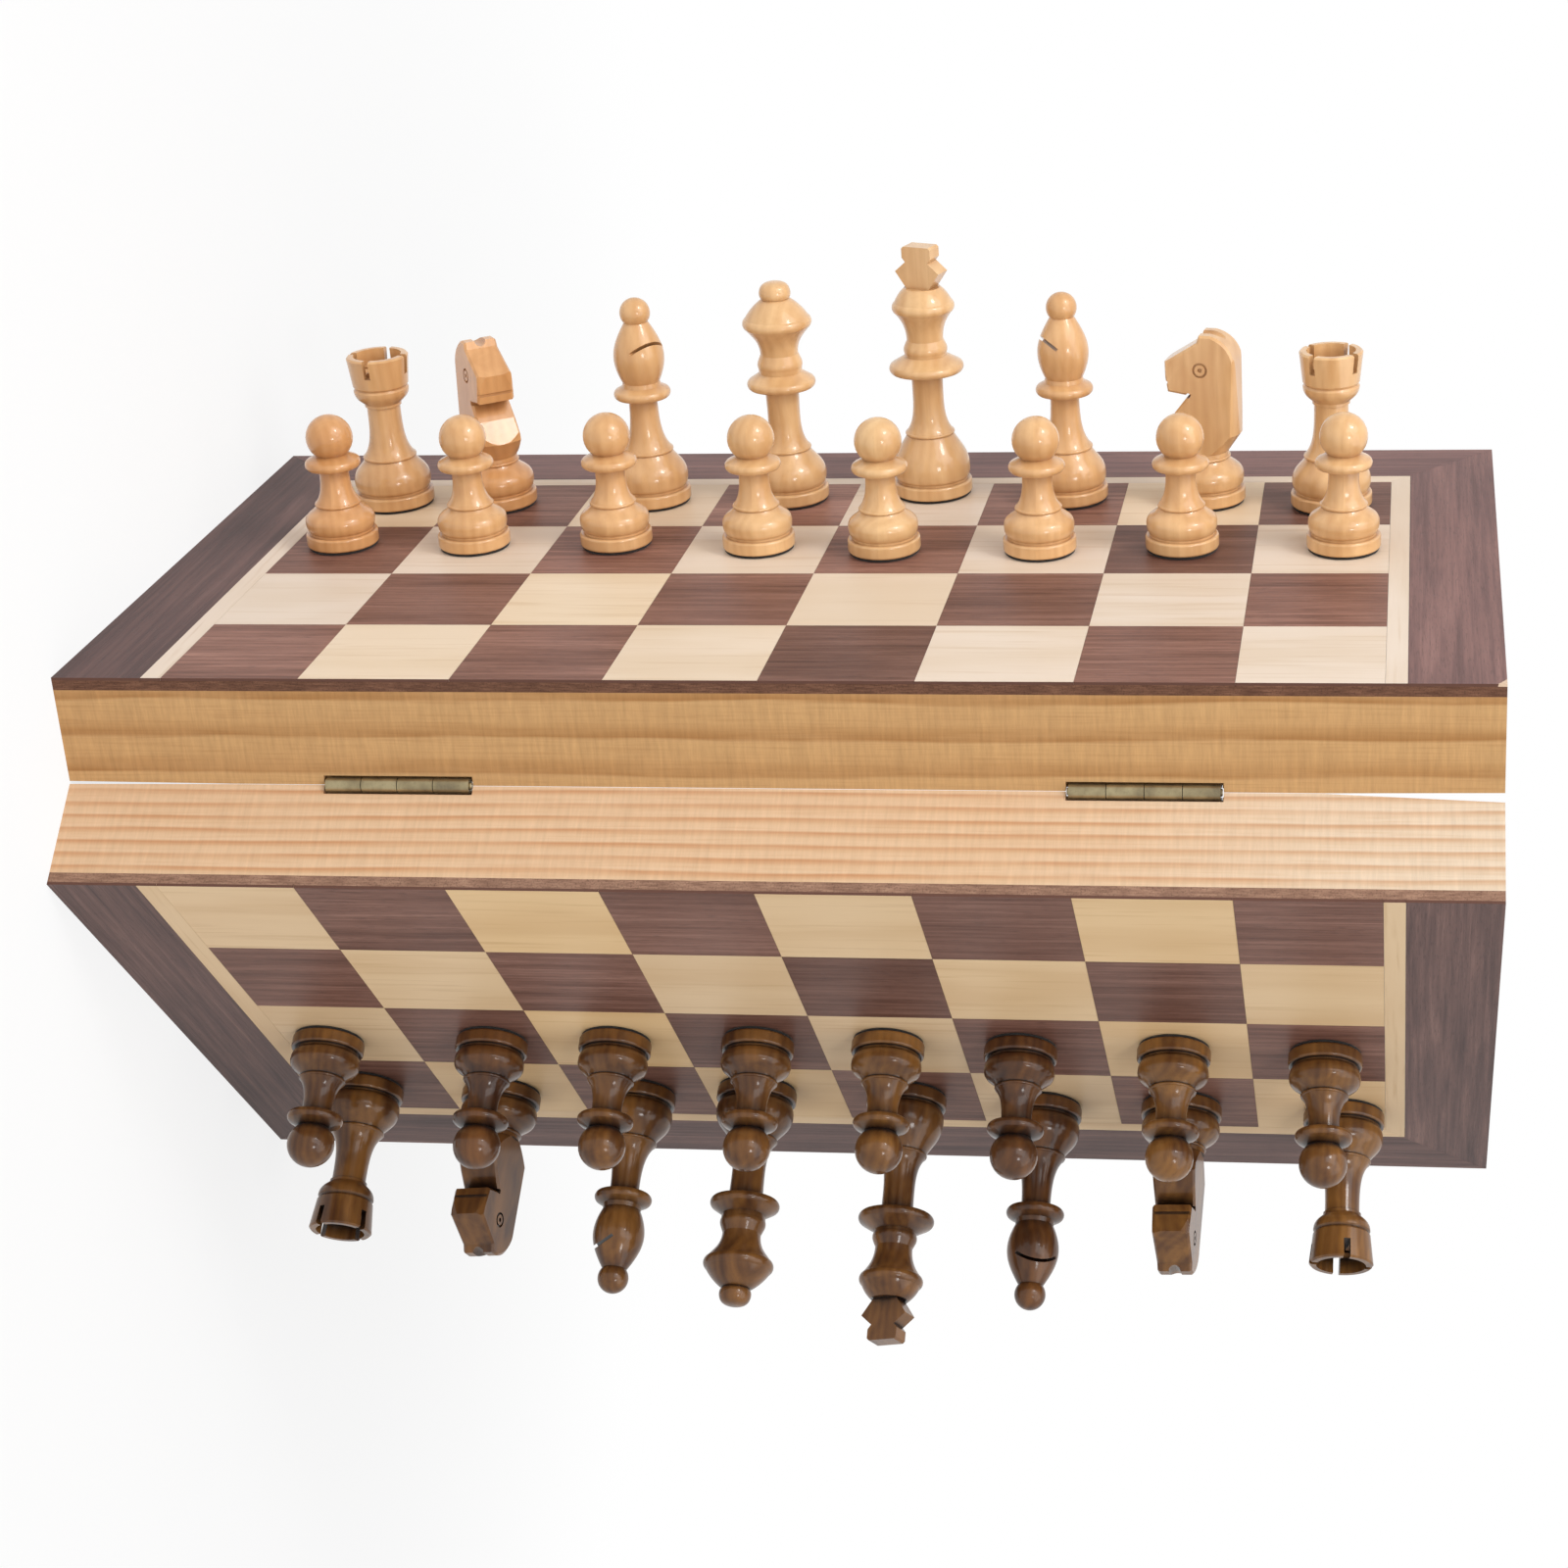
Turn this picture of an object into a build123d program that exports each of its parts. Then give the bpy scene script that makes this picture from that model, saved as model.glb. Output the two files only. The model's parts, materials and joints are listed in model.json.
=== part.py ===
from build123d import *
import os
from math import cos, radians, sin, sqrt

# A folding magnetic chess board, half open and standing on its end like an open book, with its
# two sets of men held on the outside of the two halves. Millimetres. The floor is z = 0 and the
# hinge line is vertical. Each half is modelled in the same way in a frame of its own: x is the
# depth from the hinge edge, y runs along the board and z goes inwards from the playing surface.

# Playing field and its surround
square = 32.2
files = 8
ranks = 4
saw_cut = 0.8  # lost from the first rank of each half where the board was cut in two
side_margin = 21.2  # from the outer file line to the end of the board
far_margin = 23.0  # from the last rank line to the far edge
string_width = 4.4
side_string_lap = 2.6  # how far the stringing reaches into the outer files
far_string_lap = 1.6
glue_line = 0.06

# Layers and walls of one half
veneer = 0.6
core = 2.2
steel_thickness = 0.4
steel_clearance = 0.02
steel_setback = 2.0  # from the hinge edge, so that the sheet is hidden all round
half_height = 23.8  # playing surface to rim
rail_thickness = 8.0
felt_thickness = 0.8
felt_clearance = 0.3

# Wedges planed off the rims of the hinge rails, at the foot and the head of the standing board
relief_length = 36.0
light_relief_foot = 0.3
light_relief_head = 0.4
dark_relief_foot = 0.3
dark_relief_head = 1.6

# Hinges
opening = 50.8  # degrees from closed
hinge_inset = 72.0  # end of the board to the middle of each hinge
barrel_length = 31.0
barrel_radius = 1.6
barrel_clearance = 0.5
knuckles = 4
knuckle_gap = 0.16
pin_radius = 0.8
pin_clearance = 0.05
pin_end = 0.3  # pin standing out of each end of the barrel
leaf_thickness = 0.8
leaf_width = 6.8  # from the outer wall face to the inner edge of the leaf
leaf_clearance = 0.15
rim_gap = 0.06  # between the rims of the closed box
axis_outset = 0.03  # hinge axis outside the wall face
screw_spacing = 17.0
screw_radius = 0.85
screw_length = 7.5
screw_head_radius = 1.6
screw_clearance = 0.04
screw_slot_width = 0.4
screw_slot_depth = 0.35

# Closing magnets in the far rails
closing_magnet_radius = 3.0
closing_magnet_height = 3.0
closing_magnet_inset = 60.0
magnet_clearance = 0.05

# Turned feet of the men: felt pad, magnet socket, foot disc, groove and bead
pad_thickness = 0.6
pad_inset = 0.7
pawn_foot_radius = 8.2
foot_radius = 9.3
foot_edge = 0.6
foot_height = 3.1
groove_depth = 0.95
groove_width = 0.5
bulge_inset = 0.3
bulge_rise = 2.2  # from the groove up to the widest point of the bulge
bead_step = 0.3
bead_height = 0.8
base_magnet_radius = 5.0
base_magnet_height = 2.6
socket_headroom = 0.2
collar_edge = (0.45, 0.95)  # how far a rounded rim falls back, and its reach up and down
coronet_edge = (0.65, 1.25)  # the same for the crowns of king and queen

# Stations of the turned outlines, each as radius and height over the board, and those of the
# heads and crowns as radius and distance below the top of the man
pawn_bead = (5.3, 10.4)
pawn_waist = (3.3, 18.5)
pawn_collar = (6.3, 19.9)
pawn_neck_radius = 3.6
pawn_head_radius = 5.3
pawn_height = 31.2
rook_bead = (6.3, 12.1)
rook_waist = (3.9, 24.6)
rook_ring = (4.3, 25.2)
rook_flare = (6.45, 8.2)
rook_groove = (6.05, 7.7)
rook_parapet = (6.5, 7.1)
rook_rim_radius = 7.25
rook_rim_edge = 0.4
rook_cup = (5.6, 3.4)
rook_height = 36.8
crenel_width = 1.5
crenel_depth = 4.4
bishop_bead = (6.1, 12.9)
bishop_waist = (3.35, 25.2)
bishop_collar = (6.65, 26.7)
bishop_slope = (4.6, 28.5)
bishop_neck = (4.35, 29.5)
bishop_head = (5.9, 13.4)
bishop_crown_radius = 2.8
bishop_ball_radius = 3.55
bishop_height = 49.4
mitre_mouth = (5.3, 10.0)
mitre_width = 0.7
mitre_reach = 3.0
mitre_slope = 45.0
queen_bead = (5.9, 12.9)
queen_waist = (3.9, 27.0)
queen_collar = (8.0, 28.6)
queen_slope = (5.0, 31.2)
queen_ring = (5.25, 33.1)
queen_neck = (4.4, 35.6)
queen_coronet = (8.05, 9.6)
queen_shoulder = (5.4, 5.8)
queen_dome = (3.2, 4.0)
queen_finial = (3.6, 2.1)
queen_height = 52.6
king_bead = (5.8, 15.1)
king_waist = (3.65, 28.8)
king_collar = (8.7, 30.8)
king_slope = (4.9, 33.7)
king_ring = (5.1, 35.1)
king_neck = (4.25, 37.4)
king_coronet = (7.3, 14.2)
king_shoulder = (5.4, 10.9)
king_dome = (4.2, 9.7)
king_height = 59.4
cross_thickness = 4.4
cross_stem = (2.85, 9.8)
cross_arm = (5.65, 5.9)
cross_notch = (2.9, 3.6)
cross_head = (3.7, 2.6)
cross_chamfer = 0.5

# Knight: a flat-sided horse's head cut from a turned blank
knight_bead = (6.0, 11.1)
knight_ledge = (5.6, 12.4)
blank_radius = 8.8
blank_shoulder = 17.0
mane_drop = 0.6  # how much lower the mane starts than the chest
knight_height = 40.2
knight_side_low = 5.2  # half of the thickness of the head at its foot
knight_side_high = 3.9
knight_brow = (0.6, 38.5)
knight_nose = (8.5, 33.6)
knight_lip = (7.3, 27.0)
knight_throat = (2.5, 26.3)
knight_chest = (5.7, 22.2)
knight_crest = (-6.2, 38.2)
knight_mane = (-8.3, 33.3)
knight_eye = (-0.3, 32.3)
eye_radius = 1.75
eye_groove = 0.5
eye_dot = 0.5
eye_depth = 0.4
ear_gap = 1.35
mouth_height = 29.1
mouth_width = 0.7
mouth_depth = 1.2
throat_bore = 0.6
knight_edge = 0.5  # bevel round the two flat sides

# Where each man stands: its shift from the middle of its square, along the board (upwards) and
# away from the hinge, in steps. The men were set out by hand, so no two stand quite alike.
shift_step = 0.5
file_names = "abcdefgh"
back_rank = ["rook", "knight", "bishop", "queen", "king", "bishop", "knight", "rook"]
pawn_rank = 2
piece_rank = 3
light_pawn_shifts = [(-3, 7), (-4, 5), (-2, 7), (1, 2), (-5, -3), (1, -3), (0, 0), (7, 0)]
light_piece_shifts = [(3, 3), (-10, 1), (0, 5), (2, 7), (5, 16), (6, 6), (6, 3), (0, -5)]
dark_pawn_shifts = [(-5, 5), (9, 2), (3, -1), (5, -4), (0, -5), (-5, -2), (-1, -4), (1, -1)]
dark_piece_shifts = [(-6, -1), (-4, 3), (-2, 0), (-7, -7), (-1, -4), (-3, 6), (-2, 1), (8, 7)]
# How far each man of the back rank is turned from facing the hinge, in degrees
light_turns = [-6, 35, 50, 0, -20, -63, -101, 53]
dark_turns = [63, -11, -55, 0, -20, 20, -5, 12]

# Sizes that follow from the ones above
board_length = files * square + 2 * side_margin
half_depth = ranks * square - saw_cut + far_margin
panel_base = veneer + core
rail_height = half_height - panel_base
axis_height = half_height + rim_gap / 2
sheet_margin = side_margin - side_string_lap
string_edge = side_margin + side_string_lap
far_string_edge = ranks * square - saw_cut - far_string_lap
knuckle_pitch = barrel_length / knuckles
leaf_start = barrel_radius + barrel_clearance - axis_outset
foot_top = pad_thickness + foot_height
hinge_stations = {"lower": hinge_inset, "upper": board_length - hinge_inset}
piece_depth = (piece_rank + 0.5) * square - saw_cut

# The hinge axis is set so that the middle of the whole object's outline is at x = y = 0. The
# outline ends at the light king's top, the dark king's farthest corner, the far edge of the light
# half and the rim of the dark half beside the hinge.
swing = radians(opening)
king_turn = radians(dark_turns[back_rank.index("king")])
king_shift = dark_piece_shifts[back_rank.index("king")][1] * shift_step
king_top = cross_head[0] - cross_chamfer
king_corner = king_top * abs(sin(king_turn)) + cross_thickness / 2 * abs(cos(king_turn))
king_depth = piece_depth + king_shift + king_corner
reach_right = (axis_outset + king_depth) * sin(swing) + (axis_height + king_height) * cos(swing)
reach_left = axis_height + king_height
reach_back = axis_outset + half_depth
reach_front = axis_height * sin(swing) - axis_outset * cos(swing)
hinge_foot = Vector((reach_left - reach_right) / 2, (reach_front - reach_back) / 2, 0)


def half_frame(depth_axis, inward, start):
    """Frame of one half, with its corner on the playing surface at the hinge edge."""
    corner = hinge_foot + depth_axis * axis_outset - inward * axis_height + Vector(0, 0, start)
    return Plane(origin=corner, x_dir=depth_axis, z_dir=inward)


frames = {
    "light": half_frame(Vector(0, 1, 0), Vector(1, 0, 0), 0),
    "dark": half_frame(Vector(sin(swing), cos(swing), 0), Vector(-cos(swing), sin(swing), 0), board_length),
}
# Relief of each hinge rail at the two ends of its own frame
reliefs = {
    "light": (light_relief_foot, light_relief_head),
    "dark": (dark_relief_head, dark_relief_foot),
}
# Each end of a half's own frame, as seen on the standing board
end_names = {"light": ("lower", "upper"), "dark": ("upper", "lower")}
# The two halves share each barrel: knuckles counted in the frame of each half
first_knuckle = {"light": 0, "dark": knuckles % 2}
centred_up = (Align.CENTER, Align.CENTER, Align.MIN)
centred_down = (Align.CENTER, Align.CENTER, Align.MAX)


def wall_plane(frame, depth):
    """Plane across the depth of a half: x runs along the board, y inwards."""
    return Plane(origin=frame.from_local_coords((depth, 0, 0)), x_dir=frame.y_dir, z_dir=frame.x_dir)


def section_plane(frame, along):
    """Plane across the length of a half: x is the depth, y goes inwards."""
    return Plane(origin=frame.from_local_coords((0, along, 0)), x_dir=frame.x_dir, z_dir=-frame.y_dir)


def rim_planes(frame, spots):
    """Planes on the rim of a half, facing out of it, at the given depths and lengths."""
    corners = [frame.from_local_coords((depth, along, half_height)) for depth, along in spots]
    return [Plane(origin=corner, x_dir=frame.x_dir, z_dir=frame.z_dir) for corner in corners]


def screw_spots(stations):
    """Depths and lengths of the leaf screws of the hinges at some stations."""
    depth = (leaf_start + leaf_width) / 2
    offsets = (-screw_spacing / 2, screw_spacing / 2)
    return [(depth, station + offset) for station in stations for offset in offsets]


def magnet_spots():
    """Depths and lengths of the closing magnets of one half."""
    depth = half_depth - rail_thickness / 2
    return [(depth, closing_magnet_inset), (depth, board_length - closing_magnet_inset)]


def keep(builder, label):
    """Name a finished piece and write it out."""
    builder.part.label = label
    export_step(builder.part, f"parts/{label}.step")


def make_panel(side, frame):
    """Core board under the veneer, the steel sheet let into it, and the felt on the tray's floor."""
    with BuildPart() as panel:
        with BuildSketch(frame.offset(veneer)):
            Rectangle(half_depth, board_length, align=Align.MIN)
        extrude(amount=core)
        with BuildSketch(frame.offset(veneer)):
            with Locations((steel_setback - steel_clearance, sheet_margin)):
                bed_depth = far_string_edge - steel_setback + steel_clearance
                Rectangle(bed_depth, board_length - 2 * sheet_margin, align=Align.MIN)
        extrude(amount=steel_thickness + steel_clearance, mode=Mode.SUBTRACT)
    keep(panel, f"{side}_half_panel")

    with BuildPart() as sheet:
        with BuildSketch(frame.offset(veneer)):
            with Locations((steel_setback, sheet_margin + steel_clearance)):
                sheet_depth = far_string_edge - steel_setback - steel_clearance
                sheet_length = board_length - 2 * sheet_margin - 2 * steel_clearance
                Rectangle(sheet_depth, sheet_length, align=Align.MIN)
        extrude(amount=steel_thickness)
    keep(sheet, f"{side}_half_steel_sheet")

    with BuildPart() as felt:
        with BuildSketch(frame.offset(panel_base)):
            inset = rail_thickness + felt_clearance
            with Locations((inset, inset)):
                Rectangle(half_depth - 2 * inset, board_length - 2 * inset, align=Align.MIN)
        extrude(amount=felt_thickness)
    keep(felt, f"{side}_half_felt_lining")


def make_squares(side, frame, label, parity):
    """The squares of one wood, cut short at the hinge edge and by the stringing."""
    with BuildPart() as field:
        with BuildSketch(frame):
            for rank in range(ranks):
                for file in range(files):
                    if (rank + file) % 2 != parity:
                        continue
                    near = max(rank * square - saw_cut, 0)
                    far = min((rank + 1) * square - saw_cut, far_string_edge)
                    low = max(side_margin + file * square, string_edge)
                    high = min(side_margin + (file + 1) * square, board_length - string_edge)
                    with Locations(((near + far) / 2, (low + high) / 2)):
                        Rectangle(far - near - glue_line, high - low - glue_line)
        extrude(amount=veneer)
    keep(field, f"{side}_half_{label}")


def make_surround(side, frame, label, side_edges, far_edges):
    """Three strips round the squares, mitred where they meet at the two far corners."""
    outer, inner = side_edges
    far_inner, far_outer = far_edges
    slit = glue_line / 2
    with BuildPart() as strips:
        with BuildSketch(frame):
            low_strip = [(0, outer), (far_outer - slit, outer), (far_inner - slit, inner), (0, inner)]
            high_strip = [(depth, board_length - along) for depth, along in low_strip]
            far_strip = [
                (far_outer, outer + slit),
                (far_outer, board_length - outer - slit),
                (far_inner, board_length - inner - slit),
                (far_inner, inner + slit),
            ]
            for strip in (low_strip, high_strip, far_strip):
                with BuildLine():
                    Polyline(*strip, close=True)
                make_face()
        extrude(amount=veneer)
    keep(strips, f"{side}_half_{label}")


def make_veneer(side, frame):
    """Playing surface of one half: squares, stringing and border."""
    inner = string_edge - glue_line / 2
    outer = string_edge - string_width
    far_inner = far_string_edge + glue_line / 2
    far_outer = far_string_edge + string_width
    make_squares(side, frame, "walnut_squares", 0)
    make_squares(side, frame, "maple_squares", 1)
    make_surround(side, frame, "maple_stringing", (outer, inner), (far_inner, far_outer))
    make_surround(side, frame, "walnut_border", (0, outer - glue_line), (far_outer + glue_line, half_depth))


def make_rails(side, frame):
    """The four walls of one tray."""
    at_start, at_end = reliefs[side]
    barrel_room = barrel_length + 2 * barrel_clearance
    with BuildPart() as hinge_rail:
        with BuildSketch(wall_plane(frame, 0)):
            with BuildLine():
                base = [(0, panel_base), (board_length, panel_base)]
                far_end = [(board_length, half_height - at_end), (board_length - relief_length, half_height)]
                near_end = [(relief_length, half_height), (0, half_height - at_start)]
                Polyline(*base, *far_end, *near_end, close=True)
            make_face()
        extrude(amount=rail_thickness)
        for station in hinge_stations.values():
            with BuildSketch(section_plane(frame, station)):
                with Locations((-axis_outset, axis_height)):
                    Circle(barrel_radius + barrel_clearance)
            extrude(amount=barrel_room / 2, both=True, mode=Mode.SUBTRACT)
            with BuildSketch(section_plane(frame, station)):
                with Locations((0, half_height - leaf_thickness)):
                    Rectangle(leaf_width + leaf_clearance, 2 * leaf_thickness, align=Align.MIN)
            extrude(amount=barrel_length / 2 + leaf_clearance, both=True, mode=Mode.SUBTRACT)
        with Locations(*rim_planes(frame, screw_spots(hinge_stations.values()))):
            Hole(radius=screw_radius + screw_clearance, depth=screw_length + screw_clearance)
    keep(hinge_rail, f"{side}_half_hinge_rail")

    with BuildPart() as far_rail:
        with BuildSketch(frame.offset(panel_base)):
            with Locations((half_depth - rail_thickness, 0)):
                Rectangle(rail_thickness, board_length, align=Align.MIN)
        extrude(amount=rail_height)
        with Locations(*rim_planes(frame, magnet_spots())):
            Hole(
                radius=closing_magnet_radius + magnet_clearance,
                depth=closing_magnet_height + magnet_clearance,
            )
    keep(far_rail, f"{side}_half_far_rail")

    for end_name, start in zip(end_names[side], (0, board_length - rail_thickness)):
        with BuildPart() as end_rail:
            with BuildSketch(frame.offset(panel_base)):
                with Locations((rail_thickness, start)):
                    Rectangle(half_depth - 2 * rail_thickness, rail_thickness, align=Align.MIN)
            extrude(amount=rail_height)
        keep(end_rail, f"{side}_half_{end_name}_end_rail")

    with BuildPart() as magnets:
        with Locations(*rim_planes(frame, magnet_spots())):
            Cylinder(closing_magnet_radius, closing_magnet_height, align=centred_down)
    keep(magnets, f"{side}_half_closing_magnets")


def make_hinge_leaves(side, frame):
    """The two hinge leaves let into the rim of one half, and their countersunk screws."""
    for end_name, station in zip(end_names[side], sorted(hinge_stations.values())):
        with BuildPart() as leaf:
            with BuildSketch(section_plane(frame, station)):
                with Locations((leaf_start, half_height - leaf_thickness)):
                    Rectangle(leaf_width - leaf_start, leaf_thickness, align=Align.MIN)
            extrude(amount=barrel_length / 2, both=True)
            for knuckle in range(first_knuckle[side], knuckles, 2):
                middle = station - barrel_length / 2 + (knuckle + 0.5) * knuckle_pitch
                with BuildSketch(section_plane(frame, middle)):
                    with Locations((-axis_outset, axis_height)):
                        Circle(barrel_radius)
                    with Locations((-axis_outset, half_height - leaf_thickness)):
                        Rectangle(axis_outset + leaf_start + leaf_thickness, leaf_thickness, align=Align.MIN)
                    with Locations((-axis_outset, axis_height)):
                        Circle(pin_radius + pin_clearance, mode=Mode.SUBTRACT)
                extrude(amount=(knuckle_pitch - knuckle_gap) / 2, both=True)
            with Locations(*rim_planes(frame, screw_spots([station]))):
                CounterSinkHole(
                    radius=screw_radius + screw_clearance,
                    counter_sink_radius=screw_head_radius + screw_clearance,
                    counter_sink_angle=90,
                    depth=2 * leaf_thickness,
                )
        keep(leaf, f"{side}_half_{end_name}_hinge_leaf")

    head_height = screw_head_radius - screw_radius
    with BuildPart() as screws:
        with Locations(*rim_planes(frame, screw_spots(hinge_stations.values()))):
            Cylinder(screw_radius, screw_length, align=centred_down)
            Cone(screw_radius, screw_head_radius, head_height, align=centred_down)
            Box(
                2 * screw_head_radius,
                screw_slot_width,
                screw_slot_depth,
                align=centred_down,
                mode=Mode.SUBTRACT,
            )
    keep(screws, f"{side}_half_hinge_screws")


def make_hinge_pins():
    """The two pins, one through each barrel."""
    for end_name, station in hinge_stations.items():
        pin_length = barrel_length + 2 * pin_end
        with BuildPart() as pin:
            with Locations(Plane(origin=hinge_foot + Vector(0, 0, station))):
                Cylinder(pin_radius, pin_length)
            chamfer(pin.edges().filter_by(GeomType.CIRCLE), pin_end / 2)
        keep(pin, f"{end_name}_hinge_pin")


def below(top, station):
    """Point of an outline from its radius and its distance below the top of the man."""
    radius, drop = station
    return (radius, top - drop)


def foot_outline(radius, bead):
    """Turned outline from the axis under the foot up to the top of the bead."""
    bead_radius, bead_middle = bead
    groove_radius = radius - groove_depth
    groove_top = foot_top + groove_width
    bead_low = (bead_radius - bead_step, bead_middle - bead_height / 2)
    bead_high = (bead_radius - bead_step, bead_middle + bead_height / 2)
    widest = (radius - bulge_inset, groove_top + bulge_rise)
    Line((0, pad_thickness), (radius - foot_edge, pad_thickness))
    CenterArc((radius - foot_edge, pad_thickness + foot_edge), foot_edge, -90, 90)
    Line((radius, pad_thickness + foot_edge), (radius, foot_top - foot_edge))
    CenterArc((radius - foot_edge, foot_top - foot_edge), foot_edge, 0, 90)
    Polyline((radius - foot_edge, foot_top), (groove_radius, foot_top), (groove_radius, groove_top))
    Spline((groove_radius, groove_top), widest, tangents=[(1, 1), (0, 1)])
    Spline(widest, bead_low, tangents=[(0, 1), (-0.5, 1)])
    ThreePointArc(bead_low, bead, bead_high)
    return bead_high


def stem_outline(bottom, waist):
    """Turned stem, drawn in from a bead to a waist."""
    Spline(bottom, waist, tangents=[(-0.9, 1), (0, 1)])


def rim_outline(rim, edge):
    """Rounded rim of a collar or crown; gives back its upper end."""
    rim_radius, rim_height = rim
    inset, reach = edge
    top = (rim_radius - inset, rim_height + reach)
    ThreePointArc((rim_radius - inset, rim_height - reach), rim, top)
    return top


def rim_start(rim, edge):
    """Lower end of a rounded rim."""
    return (rim[0] - edge[0], rim[1] - edge[1])


def collar_outline(bottom, rim, top):
    """Turned collar: out to a rounded rim and back to a smaller radius."""
    Line(bottom, rim_start(rim, collar_edge))
    Line(rim_outline(rim, collar_edge), top)


def bead_outline(bottom, bead, top):
    """Turned bead between two points of the outline."""
    radius, middle = bead
    low = (radius - bead_step / 2, middle - bead_height)
    high = (radius - bead_step / 2, middle + bead_height)
    Line(bottom, low)
    ThreePointArc(low, bead, high)
    Line(high, top)


def coronet_outline(neck, rim):
    """Turned cup that flares from a neck to the rounded rim of a crown; gives back its top."""
    Spline(neck, rim_start(rim, coronet_edge), tangents=[(0, 1), (0.8, 1)])
    return rim_outline(rim, coronet_edge)


def cut_socket():
    """Blind socket for the magnet in the foot of a man."""
    with Locations((0, 0, pad_thickness)):
        socket_depth = base_magnet_height + socket_headroom
        Cylinder(base_magnet_radius + magnet_clearance, socket_depth, align=centred_up, mode=Mode.SUBTRACT)


with BuildPart() as pawn_form:
    with BuildSketch(Plane.XZ):
        head_middle = pawn_height - pawn_head_radius
        neck = (pawn_neck_radius, head_middle - sqrt(pawn_head_radius**2 - pawn_neck_radius**2))
        with BuildLine():
            bead_top = foot_outline(pawn_foot_radius, pawn_bead)
            stem_outline(bead_top, pawn_waist)
            collar_outline(pawn_waist, pawn_collar, neck)
            ThreePointArc(neck, (pawn_head_radius, head_middle), (0, pawn_height))
            Line((0, pawn_height), (0, pad_thickness))
        make_face()
    revolve(axis=Axis.Z)
    cut_socket()

with BuildPart() as rook_form:
    with BuildSketch(Plane.XZ):
        flare = below(rook_height, rook_flare)
        parapet = [below(rook_height, station) for station in (rook_groove, rook_parapet)]
        rim = [
            (rook_rim_radius, rook_height - rook_rim_edge),
            (rook_rim_radius - rook_rim_edge, rook_height),
        ]
        cup = [(rook_cup[0], rook_height), below(rook_height, rook_cup), below(rook_height, (0, rook_cup[1]))]
        with BuildLine():
            bead_top = foot_outline(foot_radius, rook_bead)
            stem_outline(bead_top, rook_waist)
            Polyline(rook_waist, (rook_ring[0], rook_waist[1]), rook_ring)
            Spline(rook_ring, flare, tangents=[(1, 1), (0, 1)])
            Polyline(flare, *parapet, *rim, *cup, (0, pad_thickness))
        make_face()
    revolve(axis=Axis.Z)
    cut_socket()
    with Locations((0, 0, rook_height)):
        Box(2 * foot_radius, crenel_width, crenel_depth, align=centred_down, mode=Mode.SUBTRACT)
        Box(crenel_width, 2 * foot_radius, crenel_depth, align=centred_down, mode=Mode.SUBTRACT)

with BuildPart() as bishop_form:
    with BuildSketch(Plane.XZ):
        ball_middle = bishop_height - bishop_ball_radius
        crown = (bishop_crown_radius, ball_middle - sqrt(bishop_ball_radius**2 - bishop_crown_radius**2))
        with BuildLine():
            bead_top = foot_outline(foot_radius, bishop_bead)
            stem_outline(bead_top, bishop_waist)
            collar_outline(bishop_waist, bishop_collar, bishop_slope)
            Line(bishop_slope, bishop_neck)
            Spline(bishop_neck, below(bishop_height, bishop_head), crown, tangents=[(0.5, 1), (-0.6, 1)])
            ThreePointArc(crown, (bishop_ball_radius, ball_middle), (0, bishop_height))
            Line((0, bishop_height), (0, pad_thickness))
        make_face()
    revolve(axis=Axis.Z)
    cut_socket()
    with BuildSketch(Plane.XZ):
        with Locations(below(bishop_height, mitre_mouth)):
            Rectangle(2 * mitre_reach, mitre_width, rotation=mitre_slope)
    extrude(amount=foot_radius, both=True, mode=Mode.SUBTRACT)

with BuildPart() as queen_form:
    with BuildSketch(Plane.XZ):
        shoulder = below(queen_height, queen_shoulder)
        dome = below(queen_height, queen_dome)
        finial = below(queen_height, queen_finial)
        with BuildLine():
            bead_top = foot_outline(foot_radius, queen_bead)
            stem_outline(bead_top, queen_waist)
            collar_outline(queen_waist, queen_collar, queen_slope)
            bead_outline(queen_slope, queen_ring, queen_neck)
            rim_top = coronet_outline(queen_neck, below(queen_height, queen_coronet))
            ThreePointArc(rim_top, shoulder, dome)
            Spline(dome, finial, (0, queen_height), tangents=[(1, 1), (-1, 0)])
            Line((0, queen_height), (0, pad_thickness))
        make_face()
    revolve(axis=Axis.Z)
    cut_socket()

with BuildPart() as king_form:
    with BuildSketch(Plane.XZ):
        shoulder = below(king_height, king_shoulder)
        dome = below(king_height, king_dome)
        with BuildLine():
            bead_top = foot_outline(foot_radius, king_bead)
            stem_outline(bead_top, king_waist)
            collar_outline(king_waist, king_collar, king_slope)
            bead_outline(king_slope, king_ring, king_neck)
            rim_top = coronet_outline(king_neck, below(king_height, king_coronet))
            ThreePointArc(rim_top, shoulder, dome)
            Polyline(dome, (0, dome[1]), (0, pad_thickness))
        make_face()
    revolve(axis=Axis.Z)
    cut_socket()
    with BuildSketch(Plane.YZ):
        foot_corner = (cross_stem[0], cross_stem[1] + cross_thickness / 4)
        top_corner = (cross_head[0], cross_chamfer)
        stations = [foot_corner, cross_stem, cross_arm, cross_notch, cross_head, top_corner, (king_top, 0)]
        half_cross = [below(king_height, station) for station in stations]
        other_half = [(-across, height) for across, height in reversed(half_cross)]
        with BuildLine():
            Polyline(*half_cross, *other_half, close=True)
        make_face()
    extrude(amount=cross_thickness / 2, both=True)

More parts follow.
